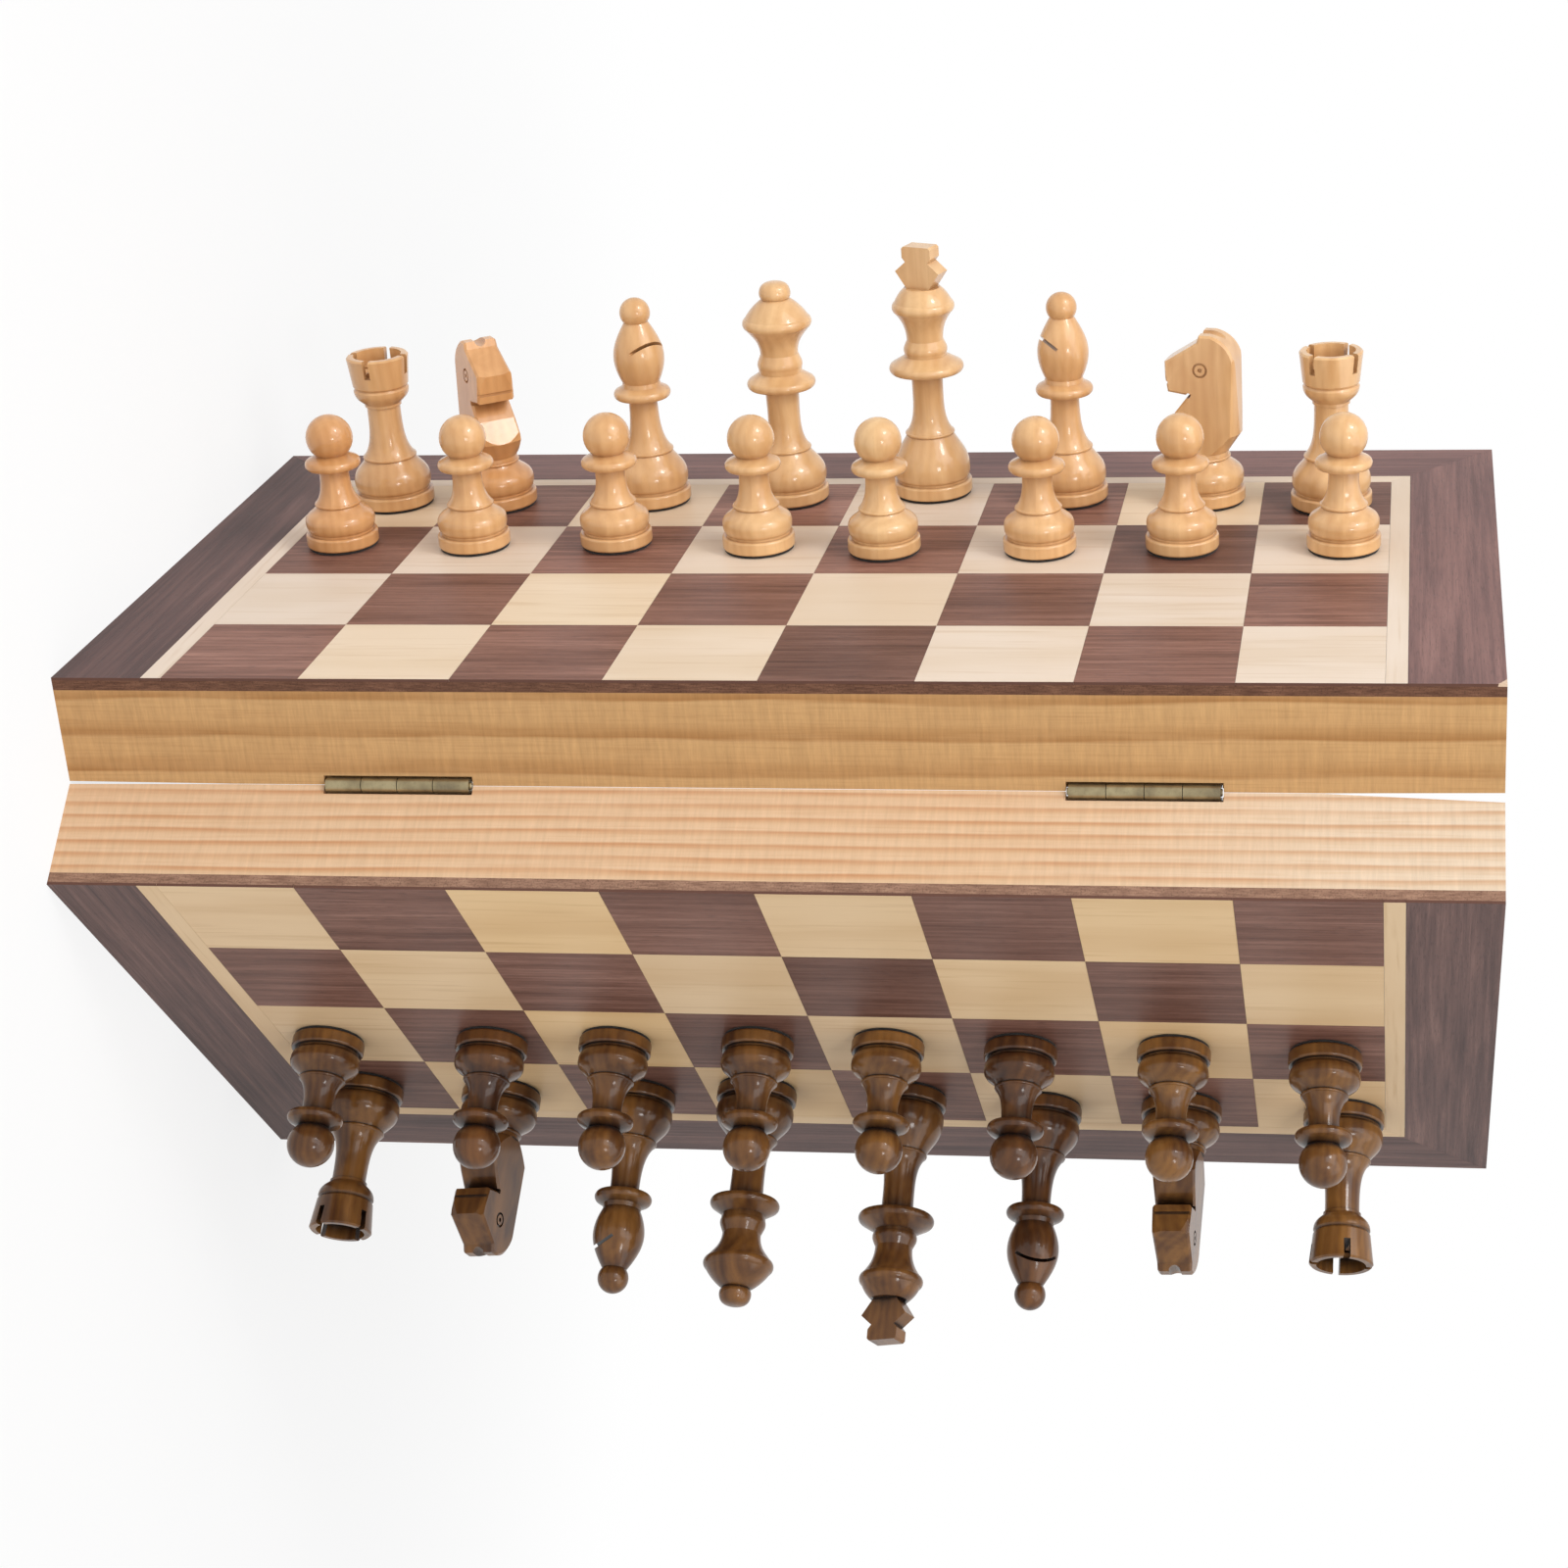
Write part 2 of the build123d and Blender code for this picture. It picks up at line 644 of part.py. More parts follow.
with BuildPart() as knight_form:
    # The head's side view, sawn out of the blank
    with BuildSketch(Plane.XZ):
        with BuildLine():
            foot_back = (-blank_radius, blank_shoulder - mane_drop)
            foot_front = (blank_radius, blank_shoulder)
            Polyline((-knight_ledge[0], knight_ledge[1]), foot_back, knight_mane)
            ThreePointArc(knight_mane, knight_crest, (0, knight_height))
            Polyline((0, knight_height), knight_brow, knight_nose, knight_lip)
            Polyline(knight_lip, knight_throat, knight_chest, foot_front, knight_ledge)
            Line(knight_ledge, (-knight_ledge[0], knight_ledge[1]))
        make_face()
    extrude(amount=blank_radius, both=True)
    # Its two sides lean together
    with BuildSketch(Plane.YZ):
        with BuildLine():
            low = knight_side_low
            high = knight_side_high
            right_edge = [(high, knight_height), (low, knight_ledge[1])]
            Polyline((-low, knight_ledge[1]), (-high, knight_height), *right_edge, close=True)
        make_face()
    extrude(amount=2 * blank_radius, both=True, mode=Mode.INTERSECT)
    bottom_edges = knight_form.edges().group_by(Axis.Z)[0]
    side_faces = knight_form.faces().sort_by(Axis.Y)[0] + knight_form.faces().sort_by(Axis.Y)[-1]
    chamfer([edge for face in side_faces for edge in face.edges() if edge not in bottom_edges], knight_edge)
    # Throat bore and mouth
    with BuildSketch(Plane.XZ):
        with Locations(knight_throat):
            Circle(throat_bore)
        with Locations((knight_nose[0], mouth_height)):
            Rectangle(2 * mouth_depth, mouth_width)
    extrude(amount=blank_radius, both=True, mode=Mode.SUBTRACT)
    # The blank was turned before it was sawn
    with BuildSketch(Plane.XZ):
        with BuildLine():
            blank_foot = [(0, knight_ledge[1]), knight_ledge]
            blank_side = [(blank_radius, blank_shoulder), (blank_radius, knight_height)]
            Polyline(*blank_foot, *blank_side, (0, knight_height), close=True)
        make_face()
    revolve(axis=Axis.Z, mode=Mode.INTERSECT)
    # Gap between the ears
    with Locations(Plane(origin=(0, 0, knight_height), z_dir=(1, 0, 0))):
        Cylinder(ear_gap, 2 * blank_radius, mode=Mode.SUBTRACT)
    # Eyes
    lean = (knight_eye[1] - knight_ledge[1]) / (knight_height - knight_ledge[1])
    eye_side = low + (high - low) * lean
    for turned_to in (-1, 1):
        with BuildSketch(Plane(origin=(0, turned_to * eye_side, 0), x_dir=(1, 0, 0), z_dir=(0, -1, 0))):
            with Locations(knight_eye):
                Circle(eye_radius)
                Circle(eye_radius - eye_groove, mode=Mode.SUBTRACT)
                Circle(eye_dot)
        extrude(amount=eye_depth, both=True, mode=Mode.SUBTRACT)
    # Turned foot
    with BuildSketch(Plane.XZ):
        with BuildLine():
            bead_top = foot_outline(foot_radius, knight_bead)
            Polyline(bead_top, knight_ledge, (0, knight_ledge[1]), (0, pad_thickness))
        make_face()
    revolve(axis=Axis.Z)
    cut_socket()

forms = {
    "rook": rook_form,
    "knight": knight_form,
    "bishop": bishop_form,
    "queen": queen_form,
    "king": king_form,
}


def standing_place(side, file, rank, shift, turn):
    """Plane under a man: z away from the playing surface, x the way that it faces."""
    frame = frames[side]
    up_board, deeper = [steps * shift_step for steps in shift]
    depth = (rank + 0.5) * square - saw_cut + deeper
    height = side_margin + (file + 0.5) * square + up_board
    foot = Vector(frame.origin.X, frame.origin.Y, 0) + frame.x_dir * depth + Vector(0, 0, height)
    facing = frame.x_dir * -cos(radians(turn)) + Vector(0, 0, sin(radians(turn)))
    return Plane(origin=foot, x_dir=facing, z_dir=-frame.z_dir)


def make_men(side, pawn_shifts, piece_shifts, turns):
    """One side's men, each where it stands, with their magnets and felt pads."""
    pawn_places = [standing_place(side, file, pawn_rank, shift, 0) for file, shift in enumerate(pawn_shifts)]
    places = [
        standing_place(side, file, piece_rank, shift, turn)
        for file, (shift, turn) in enumerate(zip(piece_shifts, turns))
    ]
    with BuildPart() as pawns:
        with Locations(*pawn_places):
            add(pawn_form.part)
    keep(pawns, f"{side}_pawns")

    for kind, file_name, place in zip(back_rank, file_names, places):
        with BuildPart() as man:
            with Locations(place):
                add(forms[kind].part)
        keep(man, f"{side}_{kind}_{file_name}")

    with BuildPart() as magnets:
        with Locations(*[place.offset(pad_thickness) for place in pawn_places + places]):
            Cylinder(base_magnet_radius, base_magnet_height, align=centred_up)
    keep(magnets, f"{side}_men_magnets")

    with BuildPart() as pads:
        with Locations(*pawn_places):
            Cylinder(pawn_foot_radius - pad_inset, pad_thickness, align=centred_up)
        with Locations(*places):
            Cylinder(foot_radius - pad_inset, pad_thickness, align=centred_up)
    keep(pads, f"{side}_men_pads")


os.makedirs("parts", exist_ok=True)
for side, frame in frames.items():
    make_panel(side, frame)
    make_veneer(side, frame)
    make_rails(side, frame)
    make_hinge_leaves(side, frame)
make_hinge_pins()
make_men("light", light_pawn_shifts, light_piece_shifts, light_turns)
make_men("dark", dark_pawn_shifts, dark_piece_shifts, dark_turns)
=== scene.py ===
import bmesh
import bpy
import json
import random
from math import cos, pi, radians, sin
from mathutils import Matrix, Vector


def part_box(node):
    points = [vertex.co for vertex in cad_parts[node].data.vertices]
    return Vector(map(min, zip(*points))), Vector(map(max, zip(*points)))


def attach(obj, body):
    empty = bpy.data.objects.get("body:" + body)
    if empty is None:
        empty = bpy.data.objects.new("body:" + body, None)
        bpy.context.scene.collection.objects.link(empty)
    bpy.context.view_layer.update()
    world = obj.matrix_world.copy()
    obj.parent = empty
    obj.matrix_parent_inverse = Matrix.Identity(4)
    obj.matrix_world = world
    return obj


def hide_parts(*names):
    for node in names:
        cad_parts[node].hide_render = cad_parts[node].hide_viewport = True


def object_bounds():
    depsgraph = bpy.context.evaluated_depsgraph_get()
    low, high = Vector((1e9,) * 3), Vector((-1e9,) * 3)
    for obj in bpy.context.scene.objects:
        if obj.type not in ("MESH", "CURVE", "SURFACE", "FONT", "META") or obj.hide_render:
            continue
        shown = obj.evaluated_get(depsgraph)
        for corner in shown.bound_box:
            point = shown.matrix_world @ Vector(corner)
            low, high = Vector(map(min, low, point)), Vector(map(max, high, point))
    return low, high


# A folding magnetic chess board, half open and standing on its end, with its two sets of men on
# the outside of the two halves. Metres, unless a comment says millimetres. Each half has
# coordinates of its own: the depth from the hinge edge, the place along the board, and the
# distance inwards from the playing surface.

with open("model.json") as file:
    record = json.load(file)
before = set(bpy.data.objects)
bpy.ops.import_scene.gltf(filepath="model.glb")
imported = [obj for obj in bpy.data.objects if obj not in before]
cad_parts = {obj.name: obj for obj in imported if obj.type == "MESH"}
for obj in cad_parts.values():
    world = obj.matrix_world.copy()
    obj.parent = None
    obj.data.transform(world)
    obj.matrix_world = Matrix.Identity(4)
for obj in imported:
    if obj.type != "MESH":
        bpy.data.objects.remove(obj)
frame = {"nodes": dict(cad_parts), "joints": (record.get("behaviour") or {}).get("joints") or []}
cad_low, cad_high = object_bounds()

MILLIMETRE = 0.001

# Playing field, in millimetres
SQUARE = 32.2
SIDE_MARGIN = 21.2
SAW_CUT = 0.8
PAWN_DEPTH = 2.5 * SQUARE - SAW_CUT
PIECE_DEPTH = 3.5 * SQUARE - SAW_CUT

# Felt pads: overhang in millimetres, shares of radius and thickness round the edge, and the waves
# that make each pad a little uneven, as a share of its radius
PAD_OVERHANG = 0.35
PAD_SEGMENTS = 96
PAD_PROFILE = [
    (0.0, 0.0), (0.93, 0.0), (0.985, 0.12), (1.0, 0.35),
    (1.0, 0.65), (0.985, 0.88), (0.93, 1.0), (0.0, 1.0),
]
PAD_WAVES = (3, 5, 8, 13, 21)
PAD_RIPPLE = 0.003
PAD_SEEDS = {"light": 0, "dark": 100}

# Felt linings: soft edge in millimetres, and shares of the thickness at the edge, in the rise to
# the middle and in the ripple
LINING_CELLS = (48, 96)
LINING_EDGE = 1.2
LINING_LOWEST = 0.35
LINING_RISE = 0.5
LINING_RIPPLE = 0.12
LINING_WAVES = 7
LINING_SEEDS = {"light": 7, "dark": 8}

# Camera at the photograph's angle: where it stands, the point that it looks at, and which way
# the top of the picture points
CAMERA_PLACE = Vector((-0.2790, -0.6291, 0.2814))
CAMERA_AIM = Vector((0.0016, 0.0052, 0.1925))
PICTURE_TOP = Vector((-0.91489, 0.40362, -0.00853))
CAMERA_LENS = 70.2
CAMERA_SHIFT = -0.15
CAMERA_CLIP = (0.01, 50.0)

# Studio: each lamp's place, size and power, all aimed at one point; how bright the surroundings
# are for other rays than those that see them; and how white the floor shows near the object, the
# distances from and to which it fades to full white, and how far it reaches
LAMPS = {
    "key": ((-0.95, -0.5, 1.15), 1.2, 11.0),
    "glint": ((-1.05, -0.42, 1.05), 0.25, 4.0),
    "top": ((0.1, -0.45, 0.95), 0.7, 2.2),
    "front": ((-0.25, -1.3, 0.95), 0.25, 3.4),
}
LAMP_AIM = Vector((0, 0, 0.15))
WORLD_FILL = 0.42
FLOOR_PAPER = (0.86, 0.86, 0.86, 1)
FLOOR_WHITENESS = 0.8
FLOOR_FADE = (0.15, 0.5)
FLOOR_REACH = 6.0
WHITE = (1, 1, 1, 1)


def linear(red, green, blue):
    """Linear colour of an sRGB colour given in 0 to 255."""
    parts = [part / 255 for part in (red, green, blue)]
    straight = [p / 12.92 if p <= 0.04045 else ((p + 0.055) / 1.055) ** 2.4 for p in parts]
    return (*straight, 1.0)


def palette(*colours):
    """Linear colours of several sRGB colours."""
    return [linear(*colour) for colour in colours]


def stops(places, *colours):
    """Stops of a colour ramp: places with their sRGB colours."""
    return list(zip(places, palette(*colours)))


# Frames of the two halves

hinge = frame["joints"][0]
hinge_place = Vector(hinge["pos_m"])
opening = radians(-hinge["range_deg"][0])
border_low, border_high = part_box("light_half_walnut_border")
board_length = border_high.z / MILLIMETRE
half_depth = (border_high.y - border_low.y) / MILLIMETRE
axis_outset = border_low.y - hinge_place.y
axis_height = hinge_place.x - border_low.x


def half_frame(depth_axis, inward, start):
    """Matrix of a half's own coordinates, with its corner on the playing surface."""
    along = inward.cross(depth_axis)
    corner = hinge_place + depth_axis * axis_outset - inward * axis_height + Vector((0, 0, start))
    turn = Matrix((depth_axis, along, inward)).transposed().to_4x4()
    return Matrix.Translation(corner) @ turn


opened_depth = Vector((sin(opening), cos(opening), 0))
opened_inward = Vector((-cos(opening), sin(opening), 0))
frames = {
    "light": half_frame(Vector((0, 1, 0)), Vector((1, 0, 0)), 0),
    "dark": half_frame(opened_depth, opened_inward, border_high.z),
}


# Shader helpers. Sockets go by number where a node has several of one name.


def add_node(tree, kind, values=(), **settings):
    """A node with its settings and the values of its sockets; another node's output is linked."""
    made = tree.nodes.new(kind)
    for name, value in settings.items():
        setattr(made, name, value)
    for socket, value in dict(values).items():
        if isinstance(value, bpy.types.NodeSocket):
            tree.links.new(value, made.inputs[socket])
        else:
            made.inputs[socket].default_value = value
    return made


def calc(tree, operation, first, second=0.0, third=0.0):
    """Output of a math node."""
    values = {0: first, 1: second, 2: third}
    return add_node(tree, "ShaderNodeMath", values, operation=operation).outputs[0]


def plus(tree, first, second):
    return calc(tree, "ADD", first, second)


def minus(tree, first, second):
    return calc(tree, "SUBTRACT", first, second)


def times(tree, first, second):
    return calc(tree, "MULTIPLY", first, second)


def cell_number(tree, length, size):
    """Number of the cell, of a size, that a length falls in."""
    return calc(tree, "FLOOR", calc(tree, "DIVIDE", length, size))


def split(tree, vector):
    """The three coordinates of a vector."""
    return add_node(tree, "ShaderNodeSeparateXYZ", {0: vector}).outputs


def join(tree, first, second, third):
    """A vector of three coordinates."""
    return add_node(tree, "ShaderNodeCombineXYZ", {0: first, 1: second, 2: third}).outputs[0]


def shift_far(tree, point, offset, reach):
    """A point moved by a random offset of 0 to 1 times a reach in millimetres."""
    far = add_node(tree, "ShaderNodeVectorMath", {0: offset, 3: reach}, operation="SCALE")
    values = {0: point, 1: far.outputs[0]}
    return add_node(tree, "ShaderNodeVectorMath", values, operation="ADD").outputs[0]


def blend_colours(tree, factor, first, second, mode="MIX"):
    """Output of a colour mix."""
    values = {0: factor, 6: first, 7: second}
    made = add_node(tree, "ShaderNodeMix", values, data_type="RGBA", blend_type=mode)
    return made.outputs[2]


def blend_points(tree, factor, first, second):
    """Output of a vector mix."""
    values = {0: factor, 4: first, 5: second}
    return add_node(tree, "ShaderNodeMix", values, data_type="VECTOR").outputs[1]


def ramp(tree, factor, colour_stops):
    """Output of a colour ramp with stops of place and colour."""
    made = add_node(tree, "ShaderNodeValToRGB", {0: factor})
    elements = made.color_ramp.elements
    while len(elements) < len(colour_stops):
        elements.new(0.5)
    for element, (place, colour) in zip(elements, colour_stops):
        element.position = place
        element.color = colour
    return made.outputs[0]


def levels(tree, factor, low, high):
    """A smooth step from 0 at low to 1 at high."""
    values = {0: factor, 1: low, 2: high, 3: 0.0, 4: 1.0}
    made = add_node(tree, "ShaderNodeMapRange", values, interpolation_type="SMOOTHSTEP")
    return made.outputs[0]


def spread(tree, factor, low, high):
    """A value between two limits."""
    values = {0: factor, 1: 0.0, 2: 1.0, 3: low, 4: high}
    return add_node(tree, "ShaderNodeMapRange", values).outputs[0]


def shaded(tree, colour, tone, low, high):
    """A colour made darker or lighter by a tone of 0 to 1."""
    shade = spread(tree, tone, low, high)
    return blend_colours(tree, 1.0, colour, join(tree, shade, shade, shade), "MULTIPLY")


# Noises drawn out along the grain: scale across it and along it, per millimetre, then detail,
# roughness and distortion
GRAIN_NOISES = {
    "walnut_band": (0.09, 0.01, 3.0, 0.5, 0.6),
    "walnut_figure": (0.75, 0.022, 5.0, 0.68, 0.3),
    "walnut_fibre": (2.8, 0.09, 3.0, 0.6, 0.0),
    "walnut_pores": (4.5, 0.3, 1.0, 0.5, 0.0),
    "maple_band": (0.07, 0.014, 2.0, 0.5, 0.5),
    "maple_figure": (0.6, 0.025, 4.0, 0.55, 0.3),
    "maple_fibre": (3.0, 0.16, 3.0, 0.6, 0.0),
    "pine_sway": (0.015, 0.005, 1.0, 0.5, 0.0),
    "pine_wander": (0.2, 0.016, 3.0, 0.6, 0.0),
    "pine_strength": (0.22, 0.02, 3.0, 0.6, 0.0),
    "pine_cloud": (0.12, 0.012, 3.0, 0.5, 0.0),
    "pine_fibre": (1.8, 0.05, 4.0, 0.62, 0.0),
    "men_sway": (0.05, 0.02, 2.0, 0.5, 0.0),
    "men_cloud": (0.14, 0.06, 3.0, 0.5, 0.6),
    "men_fibre": (1.6, 0.07, 4.0, 0.6, 0.0),
    "brass_scratches": (3.0, 0.3, 3.0, 0.7, 0.0),
    "steel_lines": (4.0, 0.2, 3.0, 0.6, 0.0),
}

# Noises that are the same in every direction: scale per millimetre, detail, roughness, distortion
EVEN_NOISES = {
    "chip_edge": (0.9, 3.0, 0.5, 0.0),
    "plywood_layers": (1.0, 5.0, 0.7, 0.0),
    "plywood_specks": (2.6, 2.0, 0.5, 0.0),
    "plywood_clouds": (0.12, 3.0, 0.5, 0.0),
    "pine_marks": (1.0, 4.0, 0.7, 0.0),
    "brass_patches": (0.22, 3.0, 0.5, 0.0),
    "brass_grime": (1.4, 4.0, 0.6, 0.0),
    "steel_patches": (0.5, 4.0, 0.6, 0.0),
    "felt_matted": (0.6, 5.0, 0.7, 0.0),
    "felt_tufts": (5.0, 4.0, 0.75, 1.2),
}

# Where a pattern begins and is full, and the share of its colour there
TRACES = {
    "walnut_fibre": (0.5, 0.75, 0.3),
    "maple_figure": (0.52, 0.72, 0.55),
    "plywood_specks": (0.52, 0.68, 0.4),
    "plywood_clouds": (0.35, 0.65, 0.35),
    "pine_fibre": (0.45, 0.75, 0.3),
    "men_fibre": (0.5, 0.8, 0.3),
    "brass_grime": (0.52, 0.75, 0.3),
    "felt_tufts": (0.5, 0.8, 0.5),
}

# Lowest and highest roughness, and the depth of the bump in millimetres
FINISHES = {
    "walnut": (0.42, 0.5, 0.012),
    "maple": (0.4, 0.47, 0.008),
    "plywood": (0.5, 0.65, 0.03),
    "pine": (0.45, 0.55, 0.02),
    "varnish": (0.34, 0.46, 0.008),
    "aged_brass": (0.24, 0.42, 0.012),
    "screw_steel": (0.3, 0.5, 0.01),
    "sheet_steel": (0.3, 0.45, 0.01),
    "magnet": (0.25, 0.4, 0.01),
    "felt": (0.85, 1.0, 0.12),
}
SATIN = {"Specular_IOR_Level": 0.12, "Coat_Weight": 0.06, "Coat_Roughness": 0.4}
GLOSS = {
    "light": {"Specular_IOR_Level": 0.2, "Coat_Weight": 0.75, "Coat_Roughness": 0.14},
    "dark": {"Specular_IOR_Level": 0.15, "Coat_Weight": 0.5, "Coat_Roughness": 0.13},
}


def noise(tree, point, scale, detail, roughness, distortion):
    """Noise over a point in millimetres."""
    names = ("Vector", "Scale", "Detail", "Roughness", "Distortion")
    values = dict(zip(names, (point, scale, detail, roughness, distortion)))
    return add_node(tree, "ShaderNodeTexNoise", values).outputs[0]


def even_noise(tree, point, name):
    """Noise that is the same in every direction."""
    return noise(tree, point, *EVEN_NOISES[name])


def grain_noise(tree, grain, name):
    """Noise over a point whose third coordinate runs along the grain."""
    across, along, *rest = GRAIN_NOISES[name]
    values = {"Vector": grain, "Scale": (across, across, along)}
    stretched = add_node(tree, "ShaderNodeMapping", values).outputs[0]
    return noise(tree, stretched, 1.0, *rest)


def traced(tree, body, pattern, name, colour):
    """A body with a colour laid over it where a pattern is strong."""
    low, high, share = TRACES[name]
    strength = times(tree, levels(tree, pattern, low, high), share)
    return blend_colours(tree, strength, body, colour)


def scatter(tree, first, second, seed):
    """A random value and a random colour for a cell."""
    values = {0: join(tree, first, second, seed)}
    made = add_node(tree, "ShaderNodeTexWhiteNoise", values, noise_dimensions="3D")
    return made.outputs[0], made.outputs[1]


def openness(tree, reach, **settings):
    """How open a place is, within a reach in millimetres: 1 in the open, less in a seam."""
    values = {"Distance": reach * MILLIMETRE}
    made = add_node(tree, "ShaderNodeAmbientOcclusion", values, samples=6, **settings)
    return made.outputs["AO"]


def board_point(tree, side):
    """Depth, place along the board and inward distance of a half, in millimetres."""
    values = {
        "Vector": add_node(tree, "ShaderNodeTexCoord").outputs["Object"],
        "Location": frames[side].translation,
        "Rotation": frames[side].to_euler(),
        "Scale": (MILLIMETRE, MILLIMETRE, MILLIMETRE),
    }
    return add_node(tree, "ShaderNodeMapping", values, vector_type="TEXTURE").outputs[0]


def start_material(name):
    """A new material with its principled shader."""
    material = bpy.data.materials.new(name)
    material.use_nodes = True
    tree = material.node_tree
    tree.nodes.clear()
    shader = add_node(tree, "ShaderNodeBsdfPrincipled")
    add_node(tree, "ShaderNodeOutputMaterial", {0: shader.outputs[0]})
    return material, tree, shader


def finish_shader(tree, shader, finish, colour, rough, height, **uniform):
    """Links colour, roughness and bump, and sets the values that are the same all over."""
    smoothest, roughest, depth = FINISHES[finish]
    tree.links.new(colour, shader.inputs["Base Color"])
    tree.links.new(spread(tree, rough, smoothest, roughest), shader.inputs["Roughness"])
    values = {"Strength": 1.0, "Distance": depth * MILLIMETRE, "Height": height}
    bump = add_node(tree, "ShaderNodeBump", values)
    tree.links.new(bump.outputs[0], shader.inputs["Normal"])
    for name, value in uniform.items():
        shader.inputs[name.replace("_", " ")].default_value = value


# Veneers

# Depth of the sawn edge at the hinge and how far the grain moves between pieces, in millimetres
EDGE_DEPTH = 0.045
VENEER_REACH = 400.0
EDGE_STAIN = linear(96, 66, 56)


def board_file(tree, along):
    """File of the square at a place along the board."""
    return cell_number(tree, minus(tree, along, SIDE_MARGIN), SQUARE)


def square_cell(tree, point):
    """File and rank of the square under a point, counted from the corner of the half."""
    depth, along, _ = split(tree, point)
    return board_file(tree, along), cell_number(tree, plus(tree, depth, SAW_CUT), SQUARE)


def veneer_grain(tree, point, run, offset):
    """A point in veneer with its grain along the third coordinate, moved by a random offset."""
    depth, along, inward = split(tree, point)
    if run == "along":
        turned = join(tree, depth, inward, along)
    else:
        turned = join(tree, along, inward, depth)
    return shift_far(tree, turned, offset, VENEER_REACH)


def far_strip(tree, depth, along):
    """1 in the strip along the far edge, 0 in the strips at the ends, with mitres between."""
    to_end = calc(tree, "MINIMUM", along, minus(tree, board_length, along))
    return calc(tree, "LESS_THAN", minus(tree, half_depth, depth), to_end)


def strip_grain(tree, point, in_far_strip, offset):
    """A point in veneer with its grain along the strip that it lies in."""
    side_grain = veneer_grain(tree, point, "depth", offset)
    far_grain = veneer_grain(tree, point, "along", offset)
    return blend_points(tree, in_far_strip, side_grain, far_grain)


def edge_stain(tree, point, colour):
    """The sawn edge at the hinge is stained dark, whatever the veneer."""
    front = calc(tree, "LESS_THAN", split(tree, point)[0], EDGE_DEPTH)
    return blend_colours(tree, front, colour, EDGE_STAIN)


# Walnut: colours from its dark figure to its pale one, the darkest and lightest tone of a piece,
# and the seeds that the tones are drawn with. The tones are partly the wood's own and partly
# painted light: on the light half their wide range and their seeds make the pieces brighter
# towards the board's upper end and far edge, a painted haze of light.
WALNUT_PLACES = (0.34, 0.46, 0.56, 0.68)
SQUARE_TINT = stops(WALNUT_PLACES, (88, 58, 48), (112, 77, 65), (131, 94, 81), (156, 117, 103))
SQUARE_TONES_AND_HAZE = {"light": (0.86, 1.42), "dark": (0.84, 1.08)}
SQUARE_SEEDS = {"light": 359.0, "dark": 327.0}
BORDER_TINTS = {
    "light": stops(WALNUT_PLACES, (84, 61, 58), (102, 75, 72), (118, 87, 82), (136, 102, 96)),
    "dark": stops(WALNUT_PLACES, (74, 56, 54), (98, 75, 71), (118, 90, 84), (146, 114, 105)),
}
BORDER_TONES_AND_HAZE = {"light": (0.72, 1.3), "dark": (0.86, 1.1)}
BORDER_SEEDS = {"light": 150.0, "dark": 17.0}
WALNUT_BAND_SHARE = 0.4
PORE_EDGE = (0.58, 0.68)
PORE_SHARE = 0.35
PORE_DEPTH = 1.5
PORE_COLOUR = linear(62, 40, 36)

# The chip at a corner of the border: its reach in millimetres, how much faster it ends along the
# board than inwards, its depth in the bump, and the bare wood in it
CHIP_REACH = 3.0
CHIP_SLOPE = 1.4
CHIP_DEPTH = 8.0
CHIP_COLOUR = linear(214, 186, 160)


def walnut_colour(tree, grain, tone, tint, shades):
    """Walnut: broad bands, fine streaks and short pores; also its height for the bump."""
    band = grain_noise(tree, grain, "walnut_band")
    figure = grain_noise(tree, grain, "walnut_figure")
    fibre = grain_noise(tree, grain, "walnut_fibre")
    pores = levels(tree, grain_noise(tree, grain, "walnut_pores"), *PORE_EDGE)
    mixed = plus(
        tree, times(tree, band, WALNUT_BAND_SHARE), times(tree, figure, 1 - WALNUT_BAND_SHARE)
    )
    pale = traced(tree, ramp(tree, mixed, tint), fibre, "walnut_fibre", tint[-1][1])
    dark = blend_colours(tree, times(tree, pores, PORE_SHARE), pale, PORE_COLOUR)
    height = minus(tree, fibre, times(tree, pores, PORE_DEPTH))
    return shaded(tree, dark, tone, *shades), height


def walnut_squares(side):
    material, tree, shader = start_material(f"walnut_squares_{side}")
    point = board_point(tree, side)
    # On the light half the tones also paint a haze of light.
    tone, offset = scatter(tree, *square_cell(tree, point), SQUARE_SEEDS[side])
    grain = veneer_grain(tree, point, "along", offset)
    colour, height = walnut_colour(tree, grain, tone, SQUARE_TINT, SQUARE_TONES_AND_HAZE[side])
    colour = edge_stain(tree, point, colour)
    finish_shader(tree, shader, "walnut", colour, height, height, **SATIN)
    return material


def chip(tree, point):
    """1 in the chip at the upper corner of the hinge edge."""
    depth, along, _ = split(tree, point)
    corner = plus(tree, depth, times(tree, minus(tree, board_length, along), CHIP_SLOPE))
    ragged = plus(tree, corner, even_noise(tree, point, "chip_edge"))
    return calc(tree, "LESS_THAN", ragged, CHIP_REACH)


